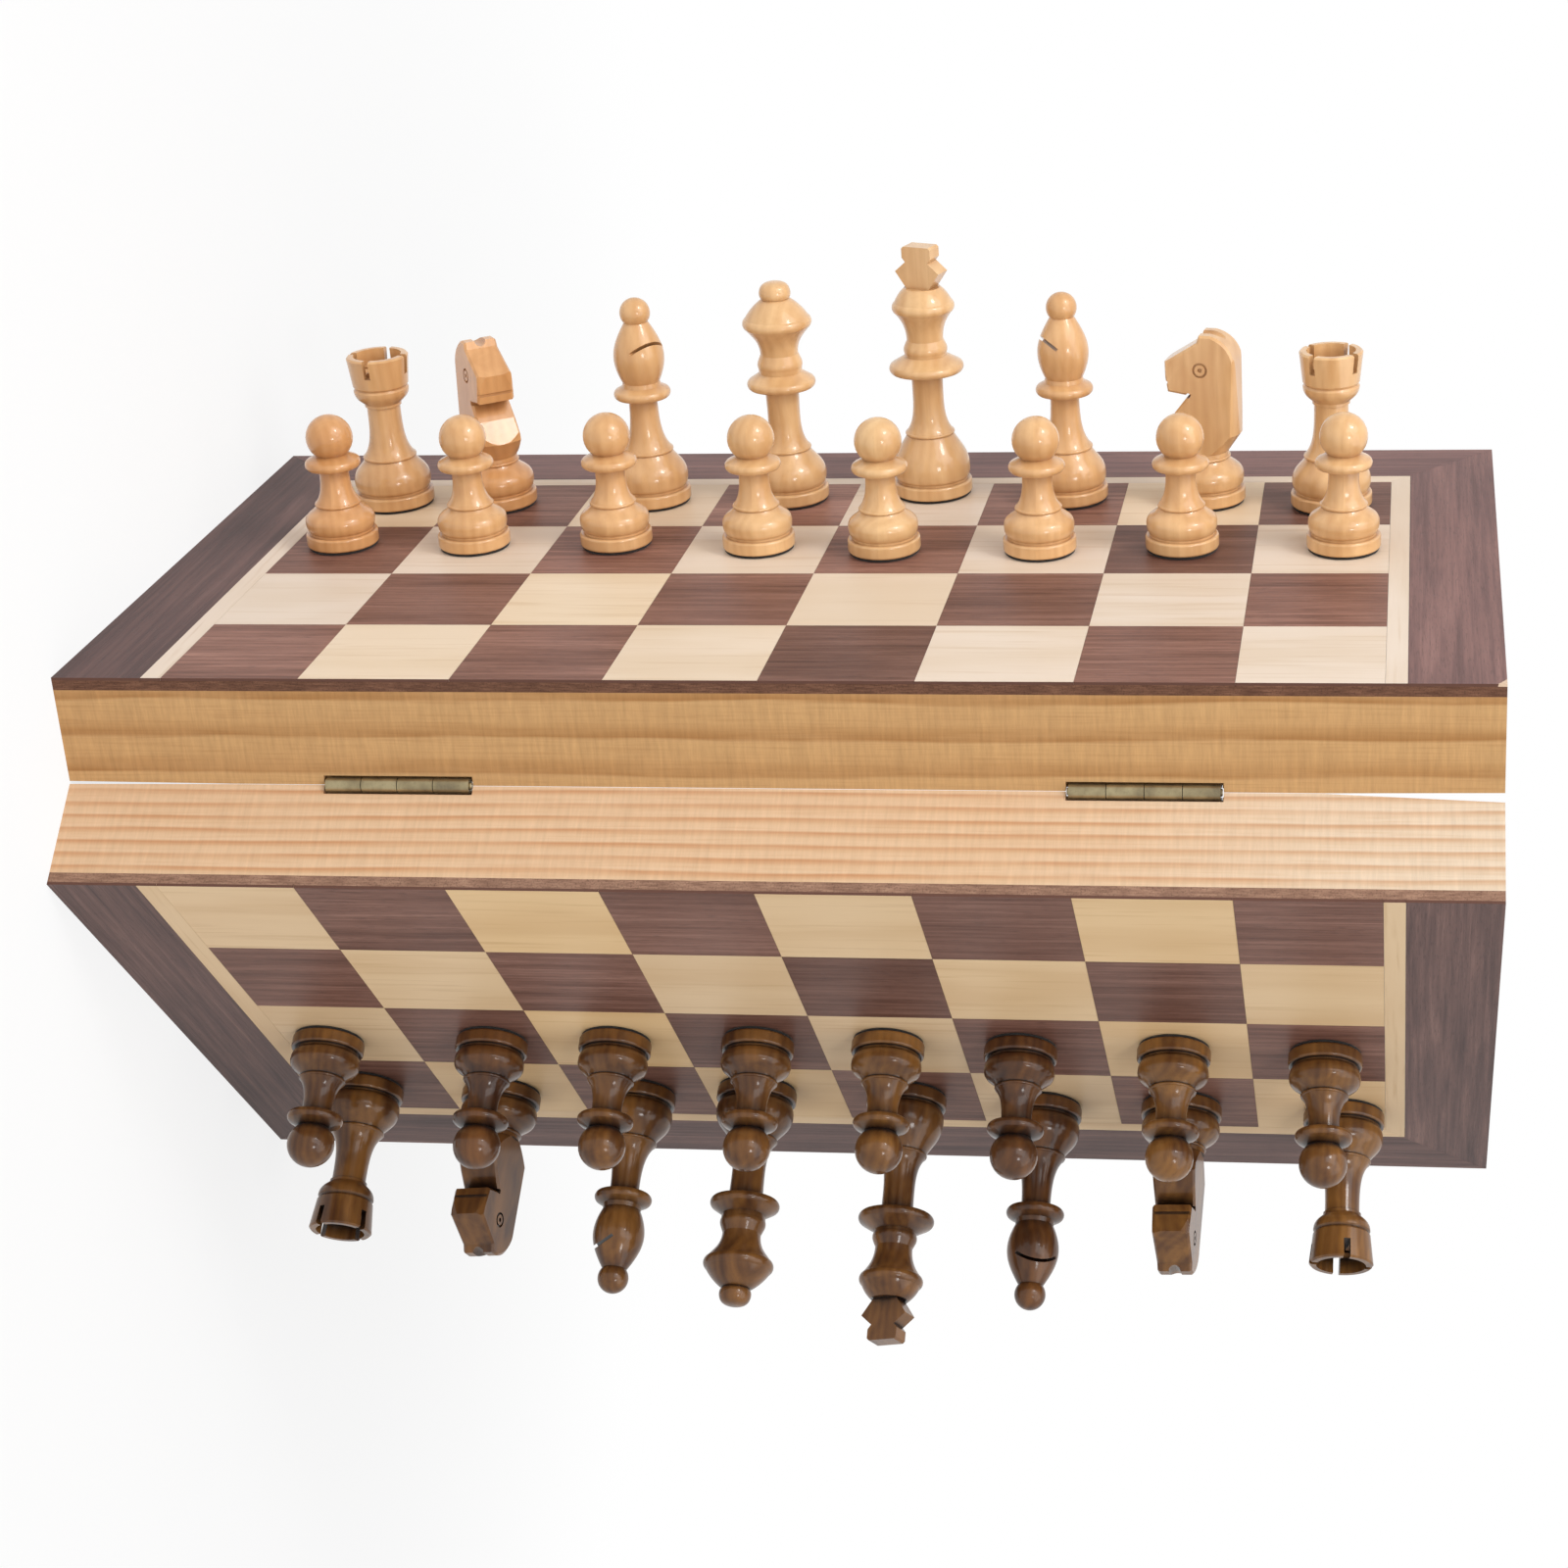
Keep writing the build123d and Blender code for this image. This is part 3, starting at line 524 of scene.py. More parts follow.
def walnut_border(side):
    """Walnut strips whose grain follows each strip, with a chip at one corner of the light half."""
    material, tree, shader = start_material(f"walnut_border_{side}")
    point = board_point(tree, side)
    depth, along, _ = split(tree, point)
    in_far_strip = far_strip(tree, depth, along)
    in_upper_half = calc(tree, "GREATER_THAN", along, board_length / 2)
    upper_strip = times(tree, in_upper_half, minus(tree, 1.0, in_far_strip))
    # On the light half the tones also paint a haze of light.
    tone, offset = scatter(tree, in_far_strip, upper_strip, BORDER_SEEDS[side])
    grain = strip_grain(tree, point, in_far_strip, offset)
    colour, height = walnut_colour(tree, grain, tone, BORDER_TINTS[side], BORDER_TONES_AND_HAZE[side])
    colour = edge_stain(tree, point, colour)
    if side == "light":
        chipped = chip(tree, point)
        colour = blend_colours(tree, chipped, colour, CHIP_COLOUR)
        height = minus(tree, height, times(tree, chipped, CHIP_DEPTH))
    finish_shader(tree, shader, "walnut", colour, height, height, **SATIN)
    return material


# Maple: pale and deep ground and streaks, and the seeds that the tones are drawn with. Both halves
# are of one maple; the difference between their colours is partly the veneers' own and partly
# painted light.
MAPLE_COLOURS = {
    "light": palette((232, 215, 198), (224, 204, 182), (210, 184, 155)),
    "dark": palette((237, 207, 167), (227, 194, 152), (212, 176, 131)),
}
STRINGING_PALE = {"light": linear(233, 216, 199), "dark": linear(237, 207, 167)}
MAPLE_SHADES = (0.95, 1.04)
MAPLE_GROUND_EDGE = (0.35, 0.68)
MAPLE_FIBRE_SHARE = 0.18
MAPLE_SEEDS = {"light": 285.0, "dark": 134.0}
STRINGING_SEEDS = (2.0, 7.0)

# Some maple squares are yellower than others: between which random values, and by what
YELLOWED_EDGE = (0.25, 1.0)
YELLOWED = (1.0, 0.95, 0.82, 1.0)


def maple_colour(tree, grain, tone, pale, deep, streak):
    """Maple: an almost even ground with faint streaks and flecks; also its height."""
    band = levels(tree, grain_noise(tree, grain, "maple_band"), *MAPLE_GROUND_EDGE)
    figure = grain_noise(tree, grain, "maple_figure")
    fibre = grain_noise(tree, grain, "maple_fibre")
    ground = blend_colours(tree, band, pale, deep)
    streaked = traced(tree, ground, figure, "maple_figure", streak)
    fine = blend_colours(tree, spread(tree, fibre, 0.0, MAPLE_FIBRE_SHARE), streaked, streak)
    return shaded(tree, fine, tone, *MAPLE_SHADES), fibre


def maple_squares(side):
    material, tree, shader = start_material(f"maple_squares_{side}")
    point = board_point(tree, side)
    tone, offset = scatter(tree, *square_cell(tree, point), MAPLE_SEEDS[side])
    grain = veneer_grain(tree, point, "along", offset)
    # Each half's maple colours are partly painted light.
    colour, height = maple_colour(tree, grain, tone, *MAPLE_COLOURS[side])
    yellowed = levels(tree, split(tree, offset)[0], *YELLOWED_EDGE)
    colour = blend_colours(tree, yellowed, colour, YELLOWED, "MULTIPLY")
    colour = edge_stain(tree, point, colour)
    finish_shader(tree, shader, "maple", colour, height, height, **SATIN)
    return material


def maple_stringing(side):
    """Maple strips whose grain follows each strip."""
    material, tree, shader = start_material(f"maple_stringing_{side}")
    point = board_point(tree, side)
    depth, along, _ = split(tree, point)
    in_far_strip = far_strip(tree, depth, along)
    tone, offset = scatter(tree, in_far_strip, *STRINGING_SEEDS)
    grain = strip_grain(tree, point, in_far_strip, offset)
    _, deep, streak = MAPLE_COLOURS[side]
    colour, height = maple_colour(tree, grain, tone, STRINGING_PALE[side], deep, streak)
    colour = edge_stain(tree, point, colour)
    finish_shader(tree, shader, "maple", colour, height, height, **SATIN)
    return material


# Base boards and rails

# Scales of the layers through the board and along it, per millimetre
PLYWOOD_LAYERS = (2.2, 0.25)
PLYWOOD_PLACES = (0.3, 0.5, 0.72)
# The two halves' edges are one stained board: the darker tint of the light half and the paler one
# of the dark half are painted shade and painted light.
PLYWOOD_TINTS = {
    "light": stops(PLYWOOD_PLACES, (80, 53, 40), (110, 76, 59), (138, 100, 78)),
    "dark": stops(PLYWOOD_PLACES, (110, 81, 66), (147, 113, 94), (174, 140, 116)),
}
PLYWOOD_SPECKS = linear(56, 36, 30)


def plywood(side):
    """Stained edge of the thin board, with its fine layers and open pores."""
    material, tree, shader = start_material(f"plywood_{side}")
    point = board_point(tree, side)
    depth, along, inward = split(tree, point)
    through, lengthwise = PLYWOOD_LAYERS
    layered = join(tree, times(tree, inward, through), times(tree, along, lengthwise), depth)
    streaks = even_noise(tree, layered, "plywood_layers")
    specks = even_noise(tree, join(tree, inward, along, depth), "plywood_specks")
    clouds = even_noise(tree, point, "plywood_clouds")
    # Painted light and shade: each half has its own tint of the one board.
    tint = PLYWOOD_TINTS[side]
    clouded = traced(tree, ramp(tree, streaks, tint), clouds, "plywood_clouds", tint[0][1])
    colour = traced(tree, clouded, specks, "plywood_specks", PLYWOOD_SPECKS)
    finish_shader(tree, shader, "plywood", colour, streaks, streaks, **SATIN)
    return material


# Pine: the spacing of its rings and where they start in millimetres, its colours, the strength of
# the saw marks, and how strong the painted haze of light is at the end of the board
PINE_LOOKS = {
    "light": {
        "spacing": 7.8,
        "start": 6.4,
        "ground": palette((194, 152, 104), (187, 145, 97)),
        "rings": stops(
            (0.0, 0.5, 0.72, 0.9, 0.98),
            (197, 156, 107), (193, 151, 102), (177, 133, 85), (164, 118, 71), (196, 155, 106),
        ),
        "fibre": linear(158, 114, 70),
        "marks": 0.3,
        "painted_haze": 0.0,
    },
    "dark": {
        "spacing": 2.9,
        "start": 0.0,
        "ground": palette((210, 177, 143), (203, 166, 130)),
        "rings": stops(
            (0.0, 0.45, 0.72, 0.84, 1.0),
            (212, 180, 147), (208, 174, 139), (195, 150, 111), (188, 138, 98), (211, 178, 144),
        ),
        "fibre": linear(190, 143, 102),
        "marks": 0.2,
        "painted_haze": 1.0,
    },
}
# Tint of the painted haze of light at the end of the board
PINE_HAZE_TINT = (1.03, 1.2, 1.42, 1.0)

# Millimetres: how far the grain moves from rail to rail; where the heart of the trunk lies
# inwards and across, with a step across from rail to rail; how much the rings sway; and the
# length of the end that a painted haze of light makes paler. The rings count only a share of the
# breadth.
PINE_REACH = 331.0
PINE_HEART_INWARD = -46.0
PINE_HEART_ACROSS = 8.0
PINE_HEART_STEP = 5.0
PINE_SWAY = 4.0
PINE_HAZE_LENGTH = 110.0
PINE_BREADTH_SHARE = 0.6

# How far the rings wander as a share of their spacing, where they are weak and strong, the share
# of a weak ring, and the edges of the clouds in the ground
PINE_WANDER = 0.35
PINE_STRENGTH_EDGE = (0.32, 0.62)
PINE_WEAKEST = 0.45
PINE_CLOUD_EDGE = (0.35, 0.65)

# Saw marks: scales through the wall and along it, per millimetre, and their share in the bump
PINE_MARKS = (0.09, 0.9)
PINE_MARK_HEIGHT = 0.7


def pine(side, run, seed):
    """Pine wall: nearly straight growth rings cut lengthwise, with fibres and saw marks across."""
    look = PINE_LOOKS[side]
    material, tree, shader = start_material(f"pine_{side}_{run}_{seed}")
    depth, along, inward = split(tree, board_point(tree, side))
    length, broad = (along, depth) if run == "along" else (depth, along)
    grain = join(tree, broad, inward, plus(tree, length, seed * PINE_REACH))

    across = plus(
        tree, times(tree, broad, PINE_BREADTH_SHARE), PINE_HEART_ACROSS + PINE_HEART_STEP * seed
    )
    deep = minus(tree, inward, PINE_HEART_INWARD)
    squares = plus(tree, calc(tree, "POWER", across, 2.0), calc(tree, "POWER", deep, 2.0))
    sway = times(tree, grain_noise(tree, grain, "pine_sway"), PINE_SWAY)
    wander = times(tree, grain_noise(tree, grain, "pine_wander"), look["spacing"] * PINE_WANDER)
    radius = plus(tree, plus(tree, calc(tree, "SQRT", squares), sway), wander)
    turns = calc(tree, "DIVIDE", plus(tree, radius, look["start"]), look["spacing"])
    rings = ramp(tree, calc(tree, "FRACT", turns), look["rings"])

    strength = levels(tree, grain_noise(tree, grain, "pine_strength"), *PINE_STRENGTH_EDGE)
    cloud = levels(tree, grain_noise(tree, grain, "pine_cloud"), *PINE_CLOUD_EDGE)
    ground = blend_colours(tree, cloud, *look["ground"])
    body = blend_colours(tree, spread(tree, strength, PINE_WEAKEST, 1.0), ground, rings)
    fibre = grain_noise(tree, grain, "pine_fibre")
    fibrous = traced(tree, body, fibre, "pine_fibre", look["fibre"])
    # Painted light: a haze of light makes the dark half's pine paler near the board's upper end.
    from_end = minus(tree, 1.0, levels(tree, along, 0.0, PINE_HAZE_LENGTH))
    haze_share = times(tree, from_end, look["painted_haze"])
    fibrous = blend_colours(tree, haze_share, fibrous, PINE_HAZE_TINT, "MULTIPLY")

    through, lengthwise = PINE_MARKS
    sawn = join(tree, times(tree, inward, through), 0.0, times(tree, length, lengthwise))
    marks = even_noise(tree, sawn, "pine_marks")
    colour = shaded(tree, fibrous, marks, 1.0 - look["marks"], 1.0 + look["marks"])
    height = plus(tree, fibre, times(tree, marks, PINE_MARK_HEIGHT))
    finish_shader(tree, shader, "pine", colour, fibre, height, **SATIN)
    return material


# Men

# The spacing of the rings in millimetres; pale and deep wood, each from its ground to its darker
# figure; the men of the deepest tone, by file and row; the share of the rings in the figure and
# the edges of its patches; streaks; and the colour, strength and reach of the painted shade in
# creases
MEN_LOOKS = {
    "light": {
        "spacing": 2.3,
        "pale": palette((229, 190, 139), (209, 163, 111)),
        "deep": palette((221, 166, 111), (197, 140, 86)),
        "deep_men": ((0, 0), (1, 1)),
        "ring_share": 0.3,
        "patch": (0.3, 0.7),
        "streak": linear(196, 148, 98),
        "crease": linear(142, 92, 50),
        "creases": 0.5,
        "crease_reach": (0.4, 0.9),
    },
    "dark": {
        "spacing": 1.9,
        "pale": palette((140, 96, 46), (80, 47, 22)),
        "deep": palette((112, 71, 35), (56, 30, 15)),
        "deep_men": ((2, 0), (2, 1), (6, 0)),
        "ring_share": 0.22,
        "patch": (0.3, 0.68),
        "streak": linear(64, 36, 21),
        "crease": linear(22, 10, 6),
        "creases": 1.0,
        "crease_reach": (0.5, 0.98),
    },
}
MEN_SEEDS = {"light": 2.0, "dark": 9.0}
DEEPEST_BY_CHANCE = 0.55

# Millimetres: how far the grain moves from man to man, between which places the heart of a blank
# lies from its man's axis, how much the rings sway, and how near the sides of a crease are
MEN_REACH = 300.0
BLANK_HEART = ((-15.0, 15.0), (14.0, 34.0))
MEN_SWAY = 8.0
CREASE_SIZE = 3.5


def men_wood(side):
    """Varnished turned wood; each man is cut from another blank, so tone and rings differ."""
    look = MEN_LOOKS[side]
    material, tree, shader = start_material(f"men_wood_{side}")
    depth, along, inward = split(tree, board_point(tree, side))
    file = board_file(tree, along)
    back = calc(tree, "GREATER_THAN", depth, (PAWN_DEPTH + PIECE_DEPTH) / 2)
    chance, offset = scatter(tree, file, back, MEN_SEEDS[side])
    tone = times(tree, chance, DEEPEST_BY_CHANCE)
    for deep_file, deep_row in look["deep_men"]:
        of_file = calc(tree, "COMPARE", file, float(deep_file), 0.5)
        of_row = calc(tree, "COMPARE", back, float(deep_row), 0.5)
        tone = calc(tree, "MAXIMUM", tone, times(tree, of_file, of_row))

    middle_depth = plus(tree, times(tree, back, SQUARE), PAWN_DEPTH)
    middle_along = plus(tree, times(tree, file, SQUARE), SIDE_MARGIN + SQUARE / 2)
    from_middle = minus(tree, depth, middle_depth), minus(tree, along, middle_along)
    grain = shift_far(tree, join(tree, *from_middle, inward), offset, MEN_REACH)
    squares = []
    for distance, share, limits in zip(from_middle, split(tree, offset), BLANK_HEART):
        from_heart = plus(tree, distance, spread(tree, share, *limits))
        squares.append(calc(tree, "POWER", from_heart, 2.0))
    radius = calc(tree, "SQRT", plus(tree, *squares))
    sway = times(tree, grain_noise(tree, grain, "men_sway"), MEN_SWAY)
    turns = calc(tree, "DIVIDE", plus(tree, radius, sway), look["spacing"])
    ring = calc(tree, "PINGPONG", turns, 0.5)

    patch = levels(tree, grain_noise(tree, grain, "men_cloud"), *look["patch"])
    ring_part = times(tree, ring, 2 * look["ring_share"])
    figure = plus(tree, ring_part, times(tree, patch, 1.0 - look["ring_share"]))
    pale = blend_colours(tree, figure, *look["pale"])
    deep = blend_colours(tree, figure, *look["deep"])
    body = blend_colours(tree, tone, pale, deep)
    fibre = grain_noise(tree, grain, "men_fibre")
    streaked = traced(tree, body, fibre, "men_fibre", look["streak"])
    # Painted shade: the wood is darkened in creases and seams, where little light gets in.
    open_part = levels(tree, openness(tree, CREASE_SIZE, only_local=True), *look["crease_reach"])
    stained = times(tree, minus(tree, 1.0, open_part), look["creases"])
    colour = blend_colours(tree, stained, streaked, look["crease"])
    finish_shader(tree, shader, "varnish", colour, fibre, fibre, **GLOSS[side])
    return material


# Metals

BRASS_TINT = stops((0.34, 0.5, 0.66), (118, 106, 84), (142, 128, 98), (166, 152, 118))
BRASS_GRIME = linear(84, 74, 56)
BRASS_RUBBED = linear(196, 184, 148)
# Colour of the painted shade in the seams; below it, the shares of rubbed brass and of that painted
# shade
BRASS_SEAM_SHADE = linear(26, 22, 16)
RUBBED_SHARE = 0.2
SEAM_SHADE_SHARE = 0.85
SEAM_SIZE = 0.5
SEAM_REACH = (0.2, 0.75)
STEEL_COLOURS = {
    "screw_steel": palette((150, 142, 122), (96, 90, 76)),
    "sheet_steel": palette((196, 198, 200), (160, 163, 166)),
    "magnet": palette((150, 152, 156), (112, 114, 118)),
}
STEEL_PATCH_EDGE = (0.35, 0.7)
STEEL_LINE_SHARE = 0.3


def aged_brass():
    """Brass with a dull olive patina, rubbed brighter here and there, with painted shade in the
    seams.
    """
    material, tree, shader = start_material("aged_brass")
    point = board_point(tree, "light")
    grime = even_noise(tree, point, "brass_grime")
    scratches = grain_noise(tree, point, "brass_scratches")
    body = ramp(tree, even_noise(tree, point, "brass_patches"), BRASS_TINT)
    dirty = traced(tree, body, grime, "brass_grime", BRASS_GRIME)
    rubbed = blend_colours(tree, times(tree, scratches, RUBBED_SHARE), dirty, BRASS_RUBBED)
    # Painted shade: the brass is darkened in the seams between knuckles and leaves, where little
    # light gets in.
    open_part = levels(tree, openness(tree, SEAM_SIZE), *SEAM_REACH)
    seam_shade = times(tree, minus(tree, 1.0, open_part), SEAM_SHADE_SHARE)
    colour = blend_colours(tree, seam_shade, rubbed, BRASS_SEAM_SHADE)
    height = plus(tree, scratches, grime)
    finish_shader(tree, shader, "aged_brass", colour, grime, height, Metallic=0.85)
    return material


def plain_metal(name):
    """Steel with fine rolling lines and dull patches."""
    pale, deep = STEEL_COLOURS[name]
    material, tree, shader = start_material(name)
    point = board_point(tree, "light")
    patches = even_noise(tree, point, "steel_patches")
    lines = grain_noise(tree, point, "steel_lines")
    body = blend_colours(tree, levels(tree, patches, *STEEL_PATCH_EDGE), pale, deep)
    colour = blend_colours(tree, spread(tree, lines, 0.0, STEEL_LINE_SHARE), body, deep)
    finish_shader(tree, shader, name, colour, patches, lines, Metallic=1.0)
    return material


# Felt: body, fuzz and sheen
FELTS = {
    "pad_felt": (linear(22, 19, 17), linear(44, 39, 35), 0.15),
    "lining_felt": (linear(24, 70, 45), linear(52, 106, 73), 0.5),
}
FELT_MATTED_EDGE = (0.3, 0.75)


def felt(name):
    """Short dense felt: matted tufts, loose fibres and a soft sheen."""
    body, fuzz, sheen = FELTS[name]
    material, tree, shader = start_material(name)
    point = board_point(tree, "light")
    matted = levels(tree, even_noise(tree, point, "felt_matted"), *FELT_MATTED_EDGE)
    tufts = even_noise(tree, point, "felt_tufts")
    colour = traced(tree, blend_colours(tree, matted, body, fuzz), tufts, "felt_tufts", fuzz)
    uniform = {"Sheen_Weight": sheen, "Sheen_Roughness": 0.5}
    finish_shader(tree, shader, "felt", colour, tufts, tufts, **uniform)
    return material


# Pieces made here


def mesh_piece(name, build, material, body):
    """A mesh piece made with bmesh, riding on a body."""
    shape = bmesh.new()
    build(shape)
    bmesh.ops.recalc_face_normals(shape, faces=shape.faces)
    mesh = bpy.data.meshes.new(name)
    shape.to_mesh(mesh)
    shape.free()
    mesh.materials.append(material)
    for polygon in mesh.polygons:
        polygon.use_smooth = True
    piece = bpy.data.objects.new(name, mesh)
    bpy.context.scene.collection.objects.link(piece)
    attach(piece, body)
    return piece


def node_islands(node):
    """Lowest and highest corners, in a half's own coordinates, of each loose part of a node."""
    side = node.split("_")[0]
    to_half = frames[side].inverted()
    shape = bmesh.new()
    shape.from_mesh(frame["nodes"][node].data)
    bmesh.ops.remove_doubles(shape, verts=shape.verts, dist=0.001 * MILLIMETRE)
    waiting = set(shape.verts)
    found = []
    while waiting:
        stack = [waiting.pop()]
        points = []
        while stack:
            vertex = stack.pop()
            points.append(to_half @ vertex.co)
            for edge in vertex.link_edges:
                other = edge.other_vert(vertex)
                if other in waiting:
                    waiting.remove(other)
                    stack.append(other)
        low = Vector(min(p[axis] for p in points) for axis in range(3))
        high = Vector(max(p[axis] for p in points) for axis in range(3))
        found.append((low, high))
    shape.free()
    return sorted(found, key=lambda pair: tuple(pair[0]))


def felt_disc(shape, place, middle, radius, thickness, seed):
    """A punched felt disc with a rounded, slightly uneven edge, pressed between board and foot."""
    chance = random.Random(seed)
    waves = [(count, chance.uniform(0, 2 * pi), chance.uniform(0.2, 1.0)) for count in PAD_WAVES]
    rings = []
    for share, level in PAD_PROFILE:
        ring = []
        for step in range(PAD_SEGMENTS):
            angle = 2 * pi * step / PAD_SEGMENTS
            ripple = sum(size * sin(count * angle + phase) for count, phase, size in waves)
            reach = radius * share * (1 + (ripple * PAD_RIPPLE if share else 0))
            across = Vector((cos(angle), sin(angle), 0)) * reach
            point = middle + across + Vector((0, 0, -thickness * level))
            ring.append(shape.verts.new(place @ point))
            if not share:
                break
        rings.append(ring)
    for lower, upper in zip(rings, rings[1:]):
        count = max(len(lower), len(upper))
        for step in range(count):
            following = (step + 1) % count
            corners = [lower[step % len(lower)], lower[following % len(lower)]]
            corners += [upper[following % len(upper)], upper[step % len(upper)]]
            shape.faces.new(list(dict.fromkeys(corners)))


def men_pads(side, material):
    """Felt discs under one side's men, a little wider than the blanks in the frame."""
    node = f"{side}_men_pads"

    def build(shape):
        for number, (low, high) in enumerate(node_islands(node)):
            middle = (low + high) / 2
            middle.z = high.z
            radius = (high.x - low.x) / 2 + PAD_OVERHANG * MILLIMETRE
            thickness = high.z - low.z
            felt_disc(shape, frames[side], middle, radius, thickness, number + PAD_SEEDS[side])

    piece = mesh_piece(f"{side}_felt_pads", build, material, f"{side}_half")
    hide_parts(node)


def felt_lining(side, material):
    """Felt glued on the floor of a tray, a little uneven and with soft edges."""
    node = f"{side}_half_felt_lining"
    low, high = node_islands(node)[0]
    size = high - low
    columns, rows = LINING_CELLS
    chance = random.Random(LINING_SEEDS[side])
    limits = ((40, 160), (40, 160), (0, 2 * pi), (0.3, 1.0))
    waves = [[chance.uniform(*pair) for pair in limits] for _ in range(LINING_WAVES)]

    def top(x, y):
        edge = min(x, size.x - x, y, size.y - y) / (LINING_EDGE * MILLIMETRE)
        soft = min(edge, 1.0)
        rise = LINING_RISE * (soft * (2 - soft))
        swell = sum(weight * sin(a * x + b * y + phase) for a, b, phase, weight in waves)
        ripple = LINING_RIPPLE * (swell / LINING_WAVES) * soft
        return size.z * (LINING_LOWEST + rise + ripple)

    def build(shape):
        grid = []
        for column in range(columns + 1):
            line = []
            for row in range(rows + 1):
                x = size.x * (0.5 - 0.5 * cos(pi * column / columns))
                y = size.y * (0.5 - 0.5 * cos(pi * row / rows))
                heights = (top(x, y), 0)
                places = [frames[side] @ (low + Vector((x, y, height))) for height in heights]
                line.append([shape.verts.new(place) for place in places])
            grid.append(line)
        for column in range(columns):
            for row in range(rows):
                corners = [grid[column][row], grid[column + 1][row]]
                corners += [grid[column + 1][row + 1], grid[column][row + 1]]
                shape.faces.new([pair[0] for pair in corners])
                shape.faces.new([pair[1] for pair in reversed(corners)])
        rim = [grid[column][0] for column in range(columns)]
        rim += [grid[columns][row] for row in range(rows)]
        rim += [grid[column][rows] for column in range(columns, 0, -1)]
        rim += [grid[0][row] for row in range(rows, 0, -1)]
        for pair, following in zip(rim, rim[1:] + rim[:1]):
            shape.faces.new([pair[1], following[1], following[0], pair[0]])

    piece = mesh_piece(f"{side}_tray_felt", build, material, f"{side}_half")
    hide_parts(node)


# Dressing of the frame


def dress(node, material):
    """Gives a CAD node its material."""
    made = frame["nodes"][node]
    made.data.materials.clear()
    made.data.materials.append(material)


def dress_half(side, brass, screw, steel, magnet):
    """Materials of one half box."""
    materials = {
        "walnut_squares": walnut_squares(side),
        "maple_squares": maple_squares(side),
        "maple_stringing": maple_stringing(side),
        "walnut_border": walnut_border(side),
        "panel": plywood(side),
        "hinge_rail": pine(side, "along", 1),
        "far_rail": pine(side, "along", 2),
        "lower_end_rail": pine(side, "depth", 3),
        "upper_end_rail": pine(side, "depth", 4),
        "lower_hinge_leaf": brass,
        "upper_hinge_leaf": brass,
        "hinge_screws": screw,
        "steel_sheet": steel,
        "closing_magnets": magnet,
    }
    for name, material in materials.items():
        dress(f"{side}_half_{name}", material)


def dress_men(side, magnet):
    """Materials of one side's men."""
    wood = men_wood(side)
    for node in frame["nodes"]:
        if node.startswith(side + "_") and "_half_" not in node:
            if not node.endswith(("magnets", "pads")):
                dress(node, wood)
    dress(f"{side}_men_magnets", magnet)


# Studio


def white_rays(tree):
    """1 for the rays that see the background: camera, glossy and transmission."""
    path = add_node(tree, "ShaderNodeLightPath").outputs
    seen = calc(tree, "MAXIMUM", path["Is Camera Ray"], path["Is Glossy Ray"])
    return calc(tree, "MAXIMUM", seen, path["Is Transmission Ray"])


def studio_world():
    """Even soft light from everywhere, seen as white."""
    world = bpy.data.worlds.new("studio")
    world.use_nodes = True
    bpy.context.scene.world = world
    tree = world.node_tree
    tree.nodes.clear()
    strength = spread(tree, white_rays(tree), WORLD_FILL, 1.0)
    background = add_node(tree, "ShaderNodeBackground", {0: WHITE, 1: strength})
    add_node(tree, "ShaderNodeOutputWorld", {0: background.outputs[0]})


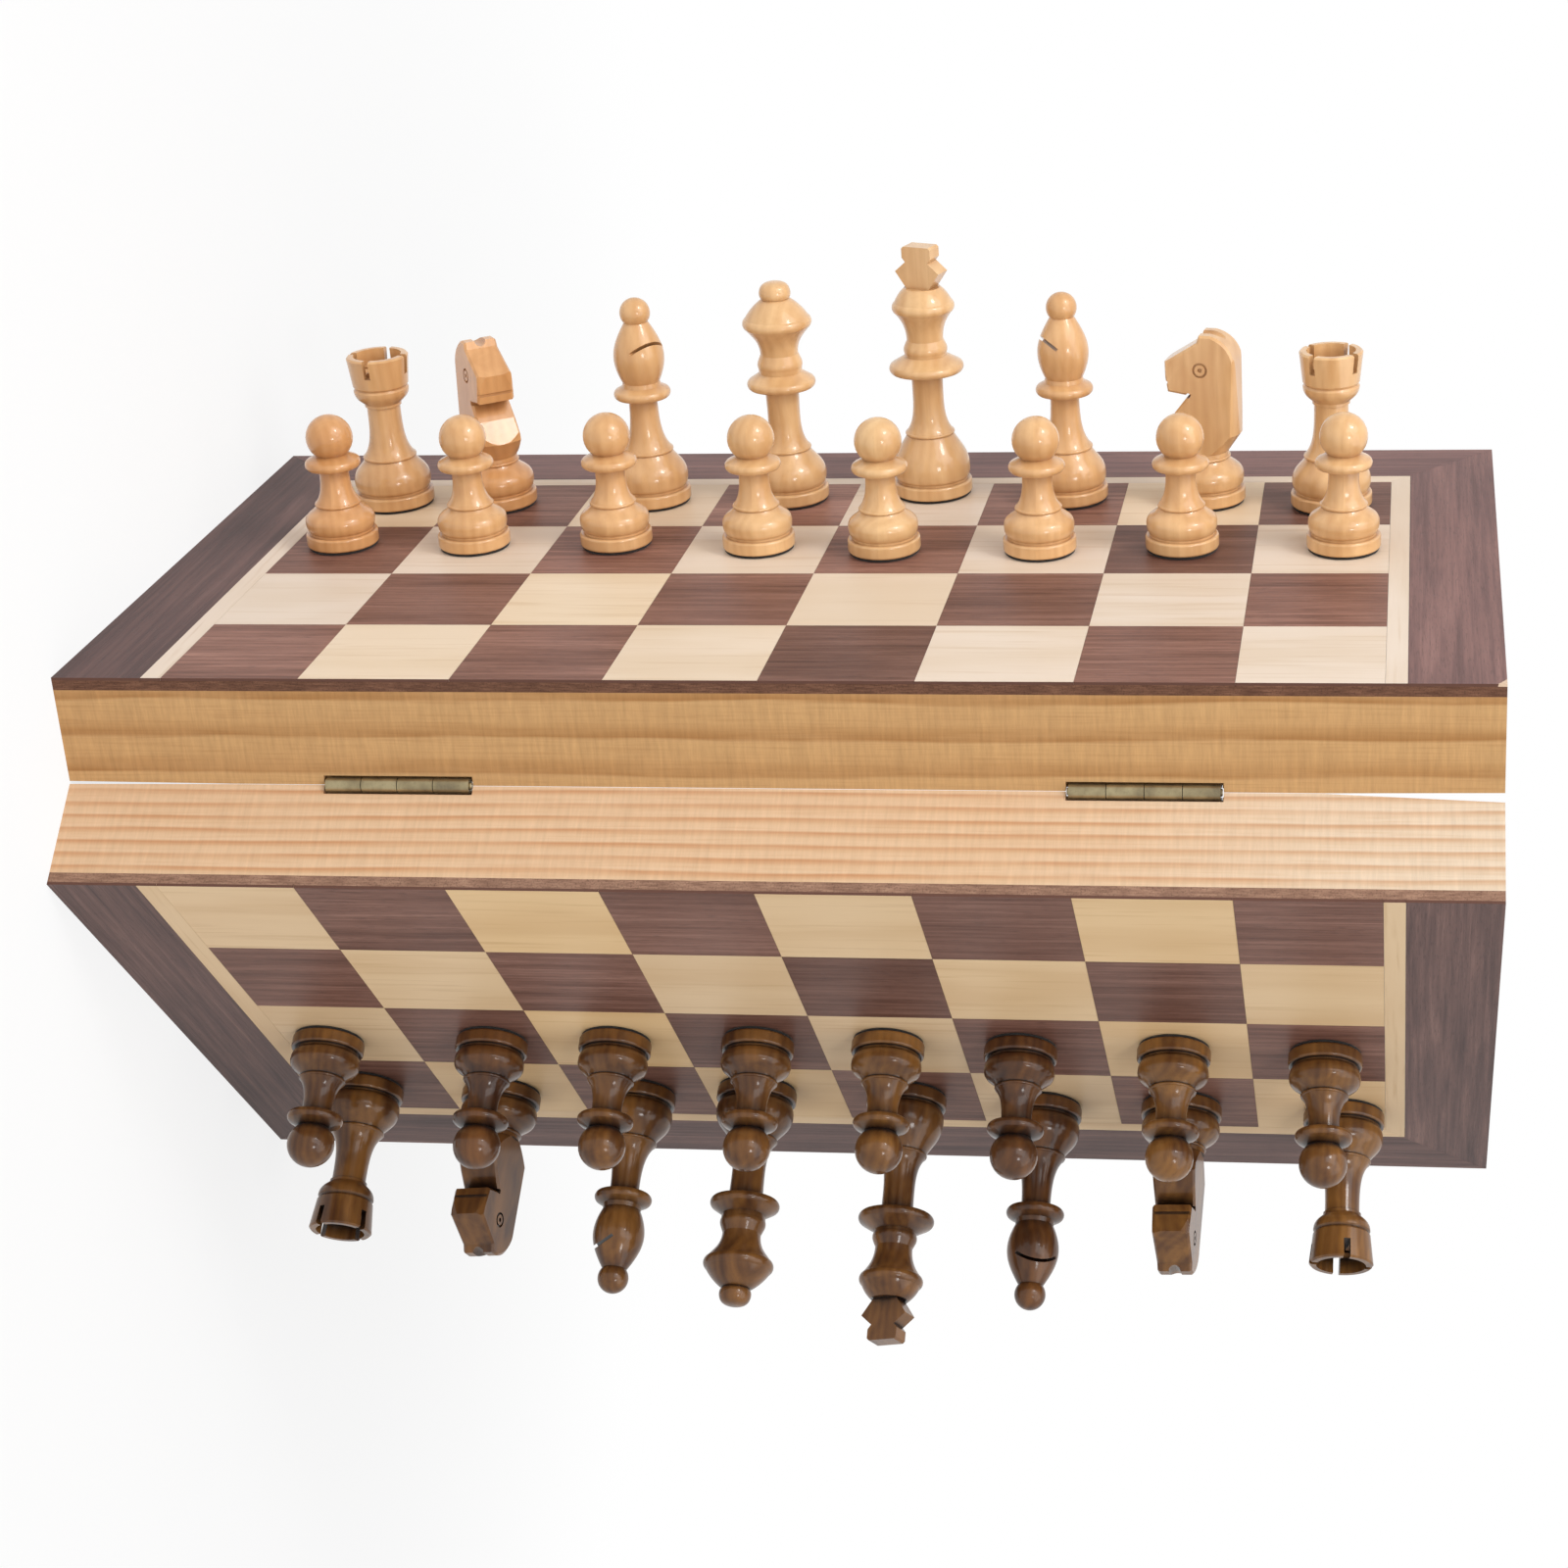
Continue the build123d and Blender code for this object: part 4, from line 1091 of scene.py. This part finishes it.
def studio_floor():
    """Plain white floor that keeps a soft shadow near the object and fades to white farther out."""
    material = bpy.data.materials.new("studio_floor")
    material.use_nodes = True
    tree = material.node_tree
    tree.nodes.clear()
    paper = add_node(tree, "ShaderNodeBsdfDiffuse", {0: FLOOR_PAPER})
    glow = add_node(tree, "ShaderNodeEmission", {0: WHITE, 1: 1.0})
    place = add_node(tree, "ShaderNodeNewGeometry").outputs["Position"]
    length = add_node(tree, "ShaderNodeVectorMath", {0: place}, operation="LENGTH")
    distance = levels(tree, length.outputs["Value"], *FLOOR_FADE)
    share = times(tree, white_rays(tree), spread(tree, distance, FLOOR_WHITENESS, 1.0))
    values = {0: share, 1: paper.outputs[0], 2: glow.outputs[0]}
    mixed = add_node(tree, "ShaderNodeMixShader", values)
    add_node(tree, "ShaderNodeOutputMaterial", {0: mixed.outputs[0]})
    shape = bmesh.new()
    corners = [(-1, -1), (1, -1), (1, 1), (-1, 1)]
    places = [(x * FLOOR_REACH, y * FLOOR_REACH, cad_low.z) for x, y in corners]
    shape.faces.new([shape.verts.new(place) for place in places])
    mesh = bpy.data.meshes.new("studio_floor")
    shape.to_mesh(mesh)
    shape.free()
    mesh.materials.append(material)
    floor = bpy.data.objects.new("studio_floor", mesh)
    bpy.context.scene.collection.objects.link(floor)


def soft_light(name, place, size, power):
    """A square soft box."""
    lamp = bpy.data.lights.new(name, "AREA")
    lamp.shape = "SQUARE"
    lamp.size = size
    lamp.energy = power
    made = bpy.data.objects.new(name, lamp)
    made.location = place
    made.rotation_euler = (LAMP_AIM - Vector(place)).to_track_quat("-Z", "Y").to_euler()
    bpy.context.scene.collection.objects.link(made)


def photograph_camera():
    """Camera on the photograph's side; the picture lies on its side, so it is rolled."""
    lens = bpy.data.cameras.new("camera")
    lens.lens = CAMERA_LENS
    lens.shift_x = CAMERA_SHIFT
    lens.clip_start, lens.clip_end = CAMERA_CLIP
    camera = bpy.data.objects.new("camera", lens)
    back = (CAMERA_PLACE - CAMERA_AIM).normalized()
    right = PICTURE_TOP.cross(back).normalized()
    top = back.cross(right)
    turn = Matrix((right, top, back)).transposed().to_4x4()
    camera.matrix_world = Matrix.Translation(CAMERA_PLACE) @ turn
    bpy.context.scene.collection.objects.link(camera)
    bpy.context.scene.camera = camera


brass = aged_brass()
screw, steel, magnet = [plain_metal(name) for name in STEEL_COLOURS]
pad_felt, lining_felt = [felt(name) for name in FELTS]

for side in frames:
    dress_half(side, brass, screw, steel, magnet)
    dress_men(side, magnet)
    men_pads(side, pad_felt)
    felt_lining(side, lining_felt)
dress("lower_hinge_pin", brass)
dress("upper_hinge_pin", brass)

bpy.context.scene.view_settings.view_transform = "Standard"
studio_world()
studio_floor()
for name, (place, size, power) in LAMPS.items():
    soft_light(name, place, size, power)
photograph_camera()
